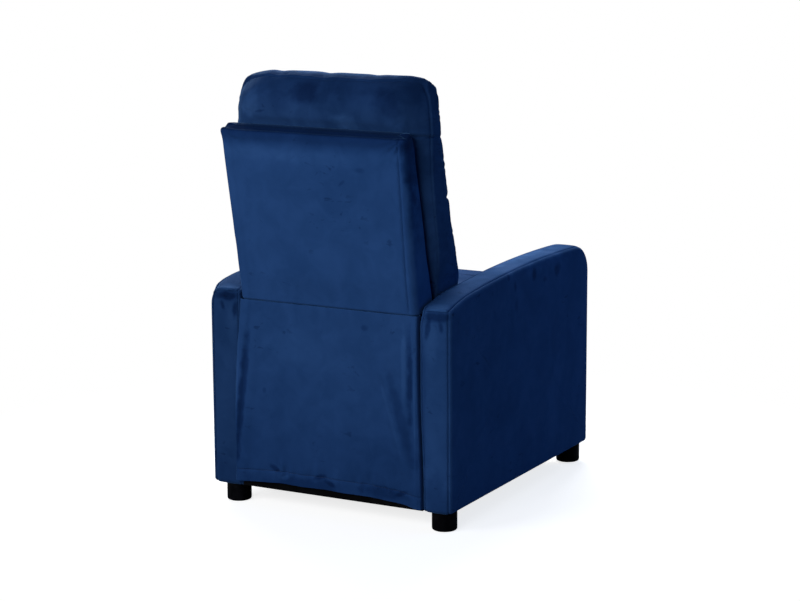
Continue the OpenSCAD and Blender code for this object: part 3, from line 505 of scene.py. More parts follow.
# Stations on both sides of a cross seam
SEAM_STEPS = (0.8, 1.6, 2.4, 3.3, 4.5, 6, 8)


def arm_top(back):
    """Height of an arm's top at a set-back."""
    fall = np.maximum(back - FALL_BACK, 0) ** 2 / (2 * FALL_R)
    return ARM_TOP - (back - ARM_PEAK_BACK) ** 2 / (2 * ARM_TOP_R) - fall


def arm_outline():
    """The closed outline of an arm's side, as set-back and height, from the lower front corner."""
    rear = ARM_DEPTH - REAR_R
    along = np.linspace(FRONT_R, rear, 160)
    return np.concatenate([
        arc((FOOT_R, ARM_BOTTOM + FOOT_R), FOOT_R, 270, 180, 8),
        arc((FRONT_R, arm_top(FRONT_R) - FRONT_R), FRONT_R, 180, 90, 40),
        np.stack([along, arm_top(along)], -1)[1:-1],
        arc((rear, arm_top(rear) - REAR_R), REAR_R, 75, 0, 9),
        arc((ARM_DEPTH - FOOT_R, ARM_BOTTOM + FOOT_R), FOOT_R, 0, -90, 8),
    ])


def resample(outline, stations):
    """Points and inward normals of a closed outline at given distances along it."""
    loop = as_loop(outline)

    def at(s):
        return at_runs(loop, s % run_along(loop)[-1])

    return at(stations), square_out(at(stations + 1.5) - at(stations - 1.5))


def nearest_run(outline, place):
    """Distance along an outline to its point nearest to a place."""
    return run_along(outline)[np.argmin(length_of(outline - place))]


def arm_stations(outline, seams):
    """Distances along the outline, closer together at the cross seams."""
    fine = [s + d for s in seams for near in SEAM_STEPS for d in (-near, near)]
    even = np.arange(0, run_along(as_loop(outline))[-1], 4.5)
    rough = [s for s in even if min(abs(s - m) for m in seams) > 9]
    return np.array(sorted(seams + fine + rough))


def arm_piece(side, name):
    """An upholstered arm: two side panels, and a strip round it between two seams."""
    outline = arm_outline()
    # The strip's upper part ends in a seam at the rear corner, and in one low on the front
    seams = [
        nearest_run(outline, (ARM_DEPTH - 1, arm_top(ARM_DEPTH) - 3)),
        nearest_run(outline, (0, ARM_TOP - FRONT_SEAM_DROP)),
    ]
    stations = arm_stations(outline, seams)
    centre, inward = resample(outline, stations)
    seed = 3 if side > 0 else 5

    edge, outer_edge = np.array(ARM_EDGE), np.array(ARM_OUTER_EDGE[::-1])
    middle = np.linspace(15, ARM_THICK - 18, 14)
    across = np.concatenate([edge[:, 0], middle, ARM_THICK - outer_edge[:, 0]])
    inset = np.concatenate([edge[:, 1], 0 * middle, outer_edge[:, 1]])
    # On the strip: a crown, cross seams, gathers beside the long seams, and slow waves
    from_side = np.minimum(across, ARM_THICK - across)
    on_strip = ramp(from_side, 5.5, 10)
    crown = 1 - (across / ARM_THICK * 2 - 1) ** 2
    places = np.stack(np.meshgrid(stations, across, indexing="ij"), -1)
    along = stations[:, None]
    gathers = wave(along, 9, seed) * (0.3 + 0.7 * ramp(wave(along, 70, seed + 1), -0.1, 0.5))
    depth = inset - 1.3 * crown * on_strip - 0.9 * ripple(places, 85, seed + 2) * on_strip
    depth += 0.5 * gathers * bell(from_side, 9, 5)
    for s in seams:
        pinch = wave(across, 6, 8) * bell(along, s + 9, 9)
        depth += (2.4 * bell(along, s, 1.6) - 1.4 * bell(along, s - 7, 6) + 0.8 * pinch) * on_strip
    # Wrinkles on the rear face under its seam
    below = along - seams[0]
    wrinkled = bell(below, 20, 20) * ramp(below, 2, 8)
    depth += 1.5 * ripple(places * [1, 0.6], 10, seed + 7) * wrinkled * on_strip
    flat = centre[:, None] + inward[:, None] * depth[..., None]
    strip = np.dstack([INNER_X + places[..., 1], flat])

    # The side panels close in from the strip's edge to a line along the arm's middle
    reach = (ARM_TOP - ARM_BOTTOM) / 2
    spine = np.clip(centre, [reach, ARM_BOTTOM + reach], [ARM_DEPTH - reach, ARM_BOTTOM + reach])

    def side_panel(edge, face_x, out):
        rings = []
        for share_in in np.linspace(0, 1, SIDE_RINGS + 1)[1:] ** 1.4:
            flat = edge[:, 1:] + (spine - edge[:, 1:]) * share_in
            back, z = flat.T
            from_rims = (back, ARM_DEPTH - back, z - ARM_BOTTOM, arm_top(back) - z)
            inside = np.prod([ramp(far, 0, 60) for far in from_rims], 0)
            puff = 2.0 + 0.9 * ripple(flat, 150, seed + 4) + 0.25 * ripple(flat, 38, seed + 5)
            pull = 0.5 * gathers[:, 0] * bell(length_of(flat - edge[:, 1:]), 4, 7)
            rings.append(np.column_stack([face_x + out * (puff * inside + pull), flat]))
        return np.array(rings)

    inner = side_panel(strip[:, 0], INNER_X, -1)
    outer = side_panel(strip[:, -1], INNER_X + ARM_THICK, 1)
    columns = np.concatenate([inner[::-1], strip.transpose(1, 0, 2), outer])
    columns[..., 0] = np.maximum(columns[..., 0], INNER_X - INNER_PUFF)
    fill_rear_end(columns, side)
    columns[..., 0] *= side
    columns[..., 1] += FRONT_Y
    piece = new_piece(name, columns, band_faces(len(columns), len(stations)))
    # The arm is painted lighter or darker as a whole and in places, as painted light and shade
    cover(piece, lay=ARM_NAP_AND_PAINTED_LIGHT[side], contrast=0.3, turn=10 * seed, marks=0.55, brushed=arm_tones(side))
    return piece


def fill_rear_end(columns, side):
    """Pads out one edge of an arm's rear end, and wears its upper corner down."""
    x, back, z = columns[..., 0], columns[..., 1], columns[..., 2]
    outward = (x - INNER_X) / ARM_THICK
    if side > 0:
        x += REAR_FULL[side] * ramp(outward, 0.3, 1.0) * ramp(back, 560, ARM_DEPTH - 20)
    else:
        low = ramp(z, 90, 330) * (1 - 0.5 * ramp(z, 470, 500))
        x -= REAR_FULL[side] * ramp(1 - outward, 0.5, 1.0) * ramp(back, ARM_DEPTH - 34, ARM_DEPTH - 14) * low
    edge_x = INNER_X + ARM_THICK + REAR_FULL[side] if side > 0 else INNER_X
    worn, reach = REAR_WORN[side]
    away = np.sqrt((x - edge_x) ** 2 + (back - ARM_DEPTH) ** 2 + (z - arm_top(ARM_DEPTH)) ** 2)
    amount = worn * bell(away, 0, reach)
    x -= side * 0.7 * amount
    z -= 0.7 * amount
    back -= 0.2 * amount


# Dark marks high on the outside of an arm, partly brushed pile and partly painted shade under its top seam:
# y, z, half width, half height and tone
ARM_MARKS_AND_SHADE = [
    (-91, 525, 17, 24, 0.4), (-222, 518, 22, 24, 0.5), (-148, 503, 16, 10, 0.6),
    (12, 512, 12, 18, 0.55), (46, 540, 9, 12, 0.55), (6, 470, 11, 26, 0.75),
]


def arm_tones(side):
    """Places of an arm painted lighter or darker: painted shade in the hollow under its rear seam and in the
    wrinkles below it, a painted highlight on the roll above it, painted light along the top, painted shade
    low down and along the inner edge, and the dark marks on its outside.
    """
    x, rear = side * (INNER_X + ARM_THICK / 2), FRONT_Y + ARM_DEPTH
    seam_z = arm_top(ARM_DEPTH) - 3
    return [
        ((x, rear, seam_z - 11), (46, 15, 16), 0, 0.3 if side > 0 else 0.38),
        ((x, rear - 6, seam_z + 11), (46, 24, 12), 0, 1.75),
        ((x, -100, ARM_TOP + 20), (60, 360, 75), 0, 1.6),
        ((x, 190, seam_z + 62), (50, 120, 26), 0, 1.25),
        ((x - side * 12, rear, seam_z - 80), (22, 12, 60), 0, 1.2),
        ((x, rear, ARM_BOTTOM + 15), (46, 14, 90), 0, 0.72),
        ((x + side * 12, rear, seam_z - 34), (9, 12, 20), 10, 0.45),
        ((x - side * 22, rear, seam_z - 40), (9, 12, 30), -8, 0.45),
        ((side * (INNER_X + 3), rear, 270), (9, 14, 210), 0, 0.8),
        ((x - side * 26, -150, ARM_TOP + 4), (34, 250, 36), 0, 1.7),
    ] + [
        ((side * (INNER_X + ARM_THICK), y + (side > 0) * 70, z), (30, wide, tall), 0, share)
        for y, z, wide, tall, share in ARM_MARKS_AND_SHADE
    ]


def make_arms():
    for side, word in ((1, "left"), (-1, "right")):
        piece = arm_piece(side, "arm_" + word)
        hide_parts("arm_cover_" + word)
        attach(piece, "root")


# The back shell

SHELL_HALF = SHELL_HIGH[0]
SEAM_Z = 495
SHELL_LEAN = math.radians(15.66)
PANEL_TOP = 897
SHELL_TOP_Z = SHELL_HIGH[2] + 5
SHELL_TOP_T = 45
SHELL_REAR_BACK = SHELL_HIGH[1] - FRONT_Y
SEAM_BACK = ARM_DEPTH + 8
REAR_SLOPE = (SHELL_REAR_BACK - SEAM_BACK) / (PANEL_TOP - 5 - SEAM_Z)
SHELL_TUCK = 5.5
# The casing's top is this much wider at each side than its seam
SHELL_FLARE = 7
CORNER_R = 17
# Painted shade on the top strip and just below it, where the back cushion shades the casing
SHELL_PAINTED_SHADES = [(898, 893, 0.42), (896, 850, 0.4)]
# Painted light on the rear panel below that shade, painted shade on the -X side strip, and two dark marks of
# brushed pile
SHELL_PAINTED_LIGHT_AND_MARKS = brushed_rows(400, [
    (-118, 823, 15, 8, 0, 0.75), (-70, 790, 5, 16, -50, 0.72),
    (150, 850, 120, 26, 0, 1.12), (-30, 842, 160, 22, 0, 1.12),
]) + brushed_rows(390, [(-245, 700, 21, 330, -1, 0.45), (-236, 835, 20, 110, 5.6, 0.45)], reach=90)
SHELL_LOW_REAR_IN = 7


def shell_front(z):
    """Set-back of the shell's front face at a height."""
    return SHELL_REAR_BACK - SHELL_TOP_T - (SHELL_HIGH[2] - z) * math.tan(SHELL_LEAN)


def shell_rear(z):
    """Set-back of the shell's rear face at a height."""
    return SEAM_BACK - (SEAM_Z - z) * REAR_SLOPE


def shell_wider(z):
    """How many times wider the shell is at a height than at its seam."""
    return 1 + SHELL_FLARE / SHELL_HALF * ramp(z, SEAM_Z + 20, PANEL_TOP)


def shell_ring(inset):
    """A ring round the shell: x, share of the depth (0 front, 1 rear), and insets of both."""
    half = SHELL_HALF - CORNER_R
    sweep = half * np.sin(np.linspace(-math.pi / 2, math.pi / 2, 84))
    rear = [(x, 1.0, -inset) for x in sweep]
    front = [(x, 0.0, inset) for x in half * np.sin(np.linspace(math.pi / 2, -math.pi / 2, 30))]
    # The sitter's left side: a rear corner, the side strip and a front corner
    turn = np.radians(np.linspace(0, 90, 12)[1:])
    x = half + (CORNER_R - inset) * np.sin(turn)
    dip = CORNER_R - (CORNER_R - inset) * np.cos(turn)
    t = np.linspace(0, 1, 18)[1:-1]
    side = np.column_stack([
        np.concatenate([x, 0 * t + SHELL_HALF - inset, x[::-1]]),
        np.concatenate([0 * x + 1, 1 - t, 0 * x]),
        np.concatenate([-dip, CORNER_R * (2 * t - 1), dip[::-1]]),
    ])
    return np.concatenate([rear, side, front, side[::-1] * [-1, 1, 1]])


def shell_level(z_rear, inset):
    """One ring of the shell. z_rear is its height at the rear face."""
    ring = shell_ring(inset)
    rise = (SHELL_TOP_Z - PANEL_TOP) * ramp(z_rear, SEAM_Z + 60, PANEL_TOP)
    z = z_rear + rise * (1 - ring[:, 1])
    back = shell_front(z) * (1 - ring[:, 1]) + shell_rear(z) * ring[:, 1] + ring[:, 2]
    return np.column_stack([ring[:, 0] * shell_wider(z), back, z])


def make_back_shell():
    """The padded rear casing of the back, with a rolled edge round its rear panel."""
    top_r, low_r = 9, 5.5
    middle = np.concatenate([
        np.linspace(SEAM_Z + low_r + 2, SEAM_Z + 60, 14), np.linspace(SEAM_Z + 66, PANEL_TOP - 60, 56),
        np.linspace(PANEL_TOP - 56, PANEL_TOP - top_r, 22),
    ])
    levels = np.concatenate([
        arc((low_r, SEAM_Z + low_r), low_r, 270, 180, 9),
        np.column_stack([0 * middle, middle]),
        arc((top_r, PANEL_TOP - top_r), top_r, 172, 90, 10),
    ])
    upper = np.array([shell_level(z, inset) for inset, z in levels])

    # flat and its columns are views, so each change below shows in the next lines
    flat = upper.reshape(-1, 3)
    x, back, z = flat.T
    u = x / SHELL_HALF
    up = (z - SEAM_Z) / (PANEL_TOP - SEAM_Z)
    depth = (back - shell_front(z)) / (shell_rear(z) - shell_front(z))
    on_rear = ramp(depth, 0.72, 0.97)
    swell = (1 - abs(u) ** 3.2) * ramp(up, 0, 0.2) * (1 - ramp(up, 0.72, 1.0) * 0.9)
    plane = np.column_stack([x, z])
    out = 6.5 * swell + 1.7 * ripple(plane, 110, 11) * ramp(1 - abs(u), 0.02, 0.2)
    out += 0.55 * ripple(plane, 32, 12) * ramp(1 - abs(u), 0.0, 0.1)
    # The rear panel's edge rolls over its seam
    edge = SHELL_HALF - abs(x) / shell_wider(z)
    roll = 1.8 * bell(edge, CORNER_R + 8, 6) * ramp(up, 0.01, 0.05)
    out += np.maximum(roll, 1.8 * bell(PANEL_TOP - z, 13, 8))
    out -= 1.6 * bell(edge, CORNER_R + 1, 1.8) * ramp(up, 0.0, 0.04) * (x < 0)
    # Gathers that run in from the upper corners and along the top
    for corner_x, spread in ((-1, 1.0), (1, 0.7)):
        reach = np.hypot(x - corner_x * SHELL_HALF, z - PANEL_TOP)
        turn = np.arctan2(PANEL_TOP - z, SHELL_HALF - corner_x * x)
        out += spread * 0.9 * np.sin(turn * 17 + 1.3 * corner_x) * bell(reach, 34, 22)
        dimple = np.hypot(edge - CORNER_R, z - PANEL_TOP + 5) + 99 * (np.sign(x) != corner_x)
        out -= 2.5 * bell(dimple, 0, 6)
    out += 0.7 * wave(x, 12, 14) * bell(PANEL_TOP - z, 16, 14)
    flat[:, 1] += out * on_rear
    flat[:, 0] += 4.5 * ramp(x, 150, SHELL_HALF) * ramp(depth, 0.3, 0.9)
    # Slow waves on the side strips
    side_share = abs(abs(x) - SHELL_HALF) < 4
    flat[:, 0] += np.sign(x) * side_share * 0.7 * ripple(np.column_stack([back, z]), 40, 15)
    # The fabric stands up a little at the top corners
    for corner_x in (-1, 1):
        reach = np.sqrt((x - corner_x * SHELL_HALF) ** 2 + (z - PANEL_TOP) ** 2
                        + (back - SHELL_REAR_BACK) ** 2)
        ear = (5.5 if corner_x > 0 else 4.5) * bell(reach, 0, 17)
        flat[:, 0] += corner_x * 0.8 * ear
        flat[:, 2] += 0.7 * ear
        # The side strip is fuller below its upper end
        full = bell(z, PANEL_TOP - 22, 22) * side_share * (1 - depth)
        flat[:, 0] += corner_x * 3.5 * full * (np.sign(x) == corner_x)

    # The top closes in with its own shallow crown
    rim = upper[-1]
    aim = np.column_stack([
        np.clip(rim[:, 0], -SHELL_HALF + 22, SHELL_HALF - 22),
        shell_front(rim[:, 2]) + SHELL_TOP_T / 2,
        np.full(len(rim), (SHELL_TOP_Z + PANEL_TOP) / 2),
    ])
    top = [rim + (aim - rim) * t + [0, 0, 2.0 * math.sin(t * math.pi / 2)] for t in np.arange(1, 8) / 7]
    # The lower part is narrower and hides behind the cloth
    ring = shell_ring(SHELL_TUCK)
    lower = []
    for z_low in np.linspace(SHELL_LOW[2], SEAM_Z - 1, 24):
        rear, front = shell_rear(z_low) - SHELL_LOW_REAR_IN, shell_front(z_low)
        back_low = front + (rear - front) * ring[:, 1] + ring[:, 2]
        lower.append(np.column_stack([ring[:, 0], np.clip(back_low, front, rear), 0 * back_low + z_low]))
    rows = np.concatenate([lower, upper, top])
    rows[..., 1] += FRONT_Y
    count = rows.shape[1]
    piece = new_piece("back_casing", rows, band_faces(len(rows), count) + [tuple(range(count))])
    # lay paints the casing lighter than the other pieces, partly for its nap and partly as painted light
    cover(piece, lay=1.28, contrast=0.3, shades=SHELL_PAINTED_SHADES, brushed=SHELL_PAINTED_LIGHT_AND_MARKS)
    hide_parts("back_shell")
    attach(piece, "back")


# The back cushion

BACK_HALF = BACK_HIGH[0]
BACK_TOP = BACK_HIGH[2]
# Half outlines of the rear and the front panel, as distance from the middle and height
LOWER_PANEL = [(0, 484), (150, 484), (204, 488), (223, 500), (229, 525), (231, 555)]
REAR_PANEL = LOWER_PANEL + [
    (239, 588), (246, 640), (249, 750), (250, 897), (250, 925), (248, 944), (245, 961), (241, 979),
    (235, 995), (224, 1007), (200, 1013), (160, 1014), (0, 1014),
]
FRONT_PANEL = LOWER_PANEL + [
    (238, 588), (247, 640), (251, 750), (253, 897), (253, 941), (252, 966), (249, 985), (243, 1000),
    (233, 1010), (212, 1016), (170, 1018), (0, 1018),
]
# How far in front of the shell's front plane the two seams lie, by height
REAR_SEAM = [
    (482, 14), (650, 15), (750, 20), (856, 36), (909, 51), (925, 55), (944, 60), (961, 66), (979, 74),
    (995, 79), (1008, 86), (1026, 90),
]
# Along the top the rear seam lies further back, by distance from the middle
REAR_SEAM_TOP = [(0, 45), (120, 45), (170, 56), (200, 70), (223, 86), (260, 100)]
FRONT_SEAM = [
    (482, 80), (520, 104), (560, 120), (584, 111), (600, 103), (641, 94), (686, 87), (764, 87),
    (800, 88), (860, 89), (900, 90), (920, 92), (941, 94), (955, 97), (966, 100), (985, 108),
    (1000, 112), (1026, 104),
]
# The cushion sits this much towards the sitter's right
BACK_SHIFT = 2
# How slack its upper corners are
SLACK_LEFT, SLACK_RIGHT = 9, -3
# How far from their seams the panels rise, and how high they and the strip stand out
REAR_ROUND, FRONT_ROUND = 72, 62
FRONT_CROWN, TOP_CROWN, SIDE_CROWN = 38, 9, 3
# Sewn channels: height, depth at the side strip, and further depth towards the middle
CHANNELS = [(890, 3, 15), (750, 7, 13), (620, 0.5, 17)]
# Painted shade on the upper part of the rear panel; painted light on its +X side, painted highlights on the
# top strip and at both side edges, and painted lighter and darker patches over the panel
HEAD_PAINTED_SHADES = [(1004, 930, 0.62)]
HEAD_PAINTED_LIGHT_AND_SHADE = brushed_rows(376, [
    (182, 958, 36, 46, 0, 1.5), (-70, 922, 48, 26, -8, 1.45), (38, 982, 54, 40, 10, 0.5),
    (100, 960, 40, 36, 0, 0.82), (-172, 968, 44, 44, -12, 0.62), (-43, 990, 22, 18, 0, 0.8),
    (150, 938, 20, 4, 12, 0.65),
]) + [
    ((244, 320, 955), (12, 60, 80), 0, 1.6), ((0, 300, 1027), (330, 54, 13), 0, 2.3),
    ((-238, 290, 960), (10, 70, 70), 0, 1.3),
]


def by_height(table, z):
    """Reads a table of heights and values."""
    rows = np.array(table)
    return np.interp(z, rows[:, 0], rows[:, 1])


def rear_seam_at(x, z):
    return np.minimum(by_height(REAR_SEAM, z), by_height(REAR_SEAM_TOP, abs(x)))


def ahead_of_shell(points):
    """How far points lie in front of the shell's front plane."""
    return shell_front(points[:, 2]) + FRONT_Y - points[:, 1]


def full_loop(half, count):
    """Even points of a closed outline, from its right half, with its corners eased."""
    half = np.array(half, float)
    loop = as_loop(np.vstack([half, half[::-1][1:-1] * [-1, 1]]))
    points = at_runs(loop, np.linspace(0, run_along(loop)[-1], count, endpoint=False))
    for _ in range(12):
        points = (np.roll(points, 1, 0) + 2 * points + np.roll(points, -1, 0)) / 4
    return points


def outward_of(loop):
    return square_out(np.roll(loop, -1, 0) - np.roll(loop, 1, 0))


def uneven_corners(loop):
    """The back cushion's upper corner is slacker at the sitter's left than at the right."""
    x, z = loop.T
    slack = SLACK_LEFT * ramp(x, 140, 225) + SLACK_RIGHT * ramp(-x, 150, 225)
    return np.column_stack([x, z - slack * ramp(z, 955, 1010)])


def back_cushion_base():
    """A boxed cushion: a rear panel, a strip round it and a crowned front panel."""
    count = 420
    rear, front = (uneven_corners(full_loop(half, count)) for half in (REAR_PANEL, FRONT_PANEL))
    out = outward_of(rear)
    middle = np.clip(rear, [0, 740], [0, 770])

    def lay(flat, offset):
        y = shell_front(flat[:, 1]) + FRONT_Y - offset
        return np.column_stack([flat[:, 0], y, flat[:, 1]])

    rows = []
    rear_in = rear_seam_at(rear[:, 0], rear[:, 1])
    front_in = by_height(FRONT_SEAM, front[:, 1])
    for share in np.linspace(1, 0, 34) ** 1.6:
        flat = rear + (middle - rear) * share
        inward = np.clip(length_of(flat - rear) / REAR_ROUND, 0, 1)
        rows.append(lay(flat, rear_in * (1 - inward) ** 2 + 0.6))
    for t in np.linspace(0, 1, 15)[1:]:
        puff = 4 * t * (1 - t) * (SIDE_CROWN + (TOP_CROWN - SIDE_CROWN) * ramp(out[:, 1], 0.3, 0.9))
        flat = rear + (front - rear) * t + out * puff[:, None]
        rows.append(lay(flat, rear_in + (front_in - rear_in) * t))
    for share in np.linspace(0, 1, 34)[1:] ** 1.6:
        flat = front + (middle - front) * share
        rise = quarter(length_of(flat - front), FRONT_ROUND)
        rows.append(lay(flat, by_height(FRONT_SEAM, flat[:, 1]) + FRONT_CROWN * rise))
    return new_piece("back_pillow", rows, band_faces(len(rows), count))


def back_seams(points):
    """Which points of the back cushion lie on its seams, or against the casing."""
    ahead = ahead_of_shell(points)
    by_rear = abs(ahead - rear_seam_at(points[:, 0], points[:, 2])) < 4
    by_front = abs(ahead - by_height(FRONT_SEAM, points[:, 2])) < 4
    behind = (ahead < 4) & (points[:, 2] < PANEL_TOP)
    return by_rear | by_front | behind


def dress_back_cushion(piece):
    """Seams, channels, gathers and the fit against the shell and the arms."""
    points, normals = surface_of(piece)
    ahead = ahead_of_shell(points)
    x, y, z = points.T
    rear_seam = rear_seam_at(x, z) + wave(z + x, 40, 20)
    front_seam = by_height(FRONT_SEAM, z)
    edge_on = 1 - abs(normals[:, 1])
    rim = ramp(edge_on, 0.1, 0.45) * ramp(z, 560, 620)
    on_side = ramp(abs(normals[:, 0]), 0.45, 0.8)
    # Seams between the strip and its panels: a groove with a low lip on the strip's side
    depth = (2.0 * bell(ahead, rear_seam, 2.4) - 0.9 * bell(ahead, rear_seam + 5, 3)) * rim
    depth += (1.6 * bell(ahead, front_seam, 2.6) - 0.6 * bell(ahead, front_seam - 5, 3)) * rim
    # Puckers on both sides of the seams
    run = np.where(abs(normals[:, 0]) > 0.6, z, x)
    puckers = wave(run, 9, 21) * (0.35 + 0.65 * ramp(wave(run, 80, 24), -0.2, 0.4))
    depth += 1.3 * puckers * (bell(ahead, rear_seam + 7, 7) + bell(ahead, front_seam - 7, 7)) * rim
    # A channel is a stitched line in a soft valley, which pulls the cloth into short folds
    from_strip = ramp(ahead - front_seam, 8, 44)
    near_front = ramp(ahead, rear_seam + 12, front_seam - 2)
    pull = np.zeros(len(points))
    for at, edge_deep, more in CHANNELS:
        line = z - at - 1.5 * wave(x, 60, at % 7)
        pull += edge_deep * bell(line, 0, 7) * near_front + more * bell(line, 0, 15) * from_strip
        along = np.where(on_side > 0.5, y, x)
        folds = wave(along, 8, at % 11) * bell(abs(line), 10, 9)
        depth += (0.25 * edge_deep * bell(line, 0, 2.8) + 1.1 * folds) * near_front
        depth += 1.8 * bell(line, 0, 2.8) * from_strip
    # The strong crease of the upper channel runs back over the whole side
    line = z - 892 + 0.10 * (ahead - 60)
    crease = (3.6 * bell(line, 0, 3.0) - 1.8 * bell(line, 8, 6)) * on_side * ramp(ahead, -4, 8)
    depth += crease * (1 - 0.75 * ramp(ahead, front_seam - 18, front_seam + 4))
    # Short creases and gathers on the side strip: height, depth, tilt, half width, centre and reach
    for at, deep, tilt, wide, centre, reach in (
        (951, 1.6, 0.05, 2.4, 84, 22), (941, 1.5, -0.08, 2.4, 88, 20), (925, 0.8, 0.1, 3, 84, 20),
        (843, 2.2, -0.35, 3.2, 76, 20), (834, -1.4, -0.35, 4, 72, 24), (822, 2.4, -0.2, 3.2, 74, 22),
        (812, -1.2, 0.1, 4, 72, 24), (798, 1.6, 0.25, 3.2, 74, 20), (776, 0.9, 0.3, 4, 70, 26),
        (742, -1.5, 0.2, 5, 70, 26), (660, 2.2, 0.2, 3.4, 78, 20), (668, -1.0, 0.2, 4, 76, 22),
        (700, 0.9, -0.2, 5, 66, 30),
    ):
        line = z - at - tilt * (ahead - centre)
        depth += deep * bell(line, 0, wide) * bell(ahead, centre, reach) * on_side
    # Soft dips along the top edge, and slow waves everywhere
    for at, deep in ((5, 2.2), (-118, 1.8), (128, 2.0)):
        depth += deep * bell(x, at, 16) * ramp(z, 985, 1012)
    rear_side = ramp(normals[:, 1], 0.2, 0.7)
    depth += (1.3 * ripple(points, 95, 22) + 0.4 * ripple(points, 30, 23)) * (1 - 0.3 * rear_side)
    points = points - normals * depth[:, None]
    points[:, 0] -= BACK_SHIFT
    points[:, 1] += pull
    fit_back(points)
    move_points(piece, points)


def fit_back(points):
    """Keeps the cushion in front of the shell and between the arms."""
    behind = -ahead_of_shell(points)
    low = 1 - ramp(points[:, 2], SHELL_TOP_Z + 2, SHELL_TOP_Z + 20)
    points[:, 1] -= np.maximum(behind + CLEAR, 0) * low
    between = 1 - ramp(points[:, 2], ARM_TOP + 3, ARM_TOP + 30)
    limit = (INNER_X - ARM_GAP) * between + (BACK_HALF + 6) * (1 - between)
    points[:, 0] = np.clip(points[:, 0], -limit, limit)
    points[:, 2] = np.minimum(points[:, 2], BACK_TOP + 5)


def make_back_cushion():
    piece = back_cushion_base()
    inflate(piece, voxel=5.0, seams=back_seams)
    dress_back_cushion(piece)
    # lay paints the cushion a little darker, partly for its nap and partly as painted shade, on top of its
    # painted shade and light
    cover(piece, lay=0.88, contrast=0.6, turn=40, marks=0.7, shades=HEAD_PAINTED_SHADES, brushed=HEAD_PAINTED_LIGHT_AND_SHADE)
    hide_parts("back_cushion")
    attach(piece, "back")


# The seat cushion and the footrest's pad

def boxed_pad(name, half_a, half_b, thick, corner, side_puff, edge, crown, place):
    """A pad with a flat back, a strip round it and a crowned face.

    place turns distances from the middle and heights into points."""
    count = 360
    a, b = half_a - side_puff, half_b - side_puff
    half = [(0, -b), (a - corner, -b), (a, -b + corner), (a, b - corner), (a - corner, b), (0, b)]
    loop = full_loop(half, count)
    out = outward_of(loop)
    spine = np.maximum([a - b, b - a], 0)
    inward = np.clip(loop, -spine, spine) - loop
    levels = [(loop + inward * share, 0) for share in np.linspace(1, 0, 26) ** 1.5]
    for t in np.linspace(0, 1, 13)[1:]:
        levels.append((loop + out * (side_puff * 4 * t * (1 - t)), t * (thick - edge)))
    for share in np.linspace(0, 1, 34)[1:] ** 1.6:
        rise = quarter(length_of(inward * share), crown)
        levels.append((loop + inward * share, thick - edge * (1 - rise)))
    rows = [place(*flat.T, height + np.zeros(count)) for flat, height in levels]
    return new_piece(name, rows, band_faces(len(rows), count))


# The seat's channel lies this far behind its front
SEAT_CHANNEL_IN = 150


def make_seat_cushion():
    """A boxed seat with a crowned top panel, a channel across it and two sewn seams."""
    wide, deep, thick = SEAT_HIGH - SEAT_LOW
    centre_y = (SEAT_LOW[1] + SEAT_HIGH[1]) / 2
    piece = boxed_pad(
        "seat_pillow", wide / 2 - 2, deep / 2 - 1, thick - 2, corner=26, side_puff=4, edge=20, crown=80,
        place=lambda a, b, h: np.column_stack([a, centre_y + b, SEAT_LOW[2] + 0.6 + h]),
    )
    top_seam, low_seam = SEAT_HIGH[2] - 23, SEAT_LOW[2] + 14
    inflate(piece, 6.0, lambda p: (abs(p[:, 2] - top_seam) < 5) | (p[:, 2] < low_seam + 4))
    points, normals = surface_of(piece)
    x, y, z = points.T
    rim = ramp(1 - abs(normals[:, 2]), 0.15, 0.6)
    depth = (2.2 * bell(z, top_seam, 2.8) + 1.8 * bell(z, low_seam, 2.8)) * rim
    depth += wave(x + y, 11, 31) * bell(z, top_seam, 12) * rim
    channel = SEAT_LOW[1] + SEAT_CHANNEL_IN + 2 * wave(x, 70, 35)
    on_top = ramp(normals[:, 2], 0.3, 0.7)
    depth += (3.0 * bell(y, channel, 3.2) + 5.0 * bell(y, channel, 16)) * on_top
    depth += 1.1 * wave(x, 10, 32) * bell(abs(y - channel), 11, 10) * on_top
    depth += 1.8 * ripple(points, 120, 33) * on_top + 0.5 * ripple(points, 36, 34)
    half = INNER_X - ARM_GAP
    low = (-half, SEAT_LOW[1] - 3, SEAT_LOW[2] + 0.1)
    high = (half, SEAT_HIGH[1] + 2, SEAT_HIGH[2] + 6)
    move_points(piece, np.clip(points - normals * depth[:, None], low, high))
    cover(piece, turn=75)
    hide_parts("seat_cushion")
    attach(piece, "seat")


def make_footrest_pad():
    """The footrest's upholstered face, with a sewn border."""
    wide, thick, tall = REST_HIGH - REST_LOW
    centre_z = (REST_LOW[2] + REST_HIGH[2]) / 2
    piece = boxed_pad(
        "footrest_pillow", wide / 2 - 1, tall / 2 - 1, thick - 1, corner=22, side_puff=2, edge=12, crown=45,
        place=lambda a, b, h: np.column_stack([a, REST_HIGH[1] - 0.6 - h, centre_z + b]),
    )
    seam = REST_LOW[1] + 14
    inflate(piece, 5.0, lambda p: (abs(p[:, 1] - seam) < 4) | (p[:, 1] > REST_HIGH[1] - 6))
    points, normals = surface_of(piece)
    x, y, z = points.T
    rim = ramp(1 - abs(normals[:, 1]), 0.15, 0.6)
    depth = 1.8 * bell(y, seam, 2.4) * rim
    depth += 0.8 * wave(x + z, 10, 41) * bell(y, seam, 9) * rim
    depth += 1.2 * ripple(points, 90, 42) + 0.4 * ripple(points, 28, 43)
    half = REST_HIGH[0] + 2
    low = (-half, REST_LOW[1] - 4, REST_LOW[2] - 3)
    high = (half, REST_HIGH[1] - 0.1, REST_HIGH[2] + 3)
    move_points(piece, np.clip(points - normals * depth[:, None], low, high))
    cover(piece, turn=120)
    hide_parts("footrest_pad")
    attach(piece, "footrest")


# The cloth behind the chair

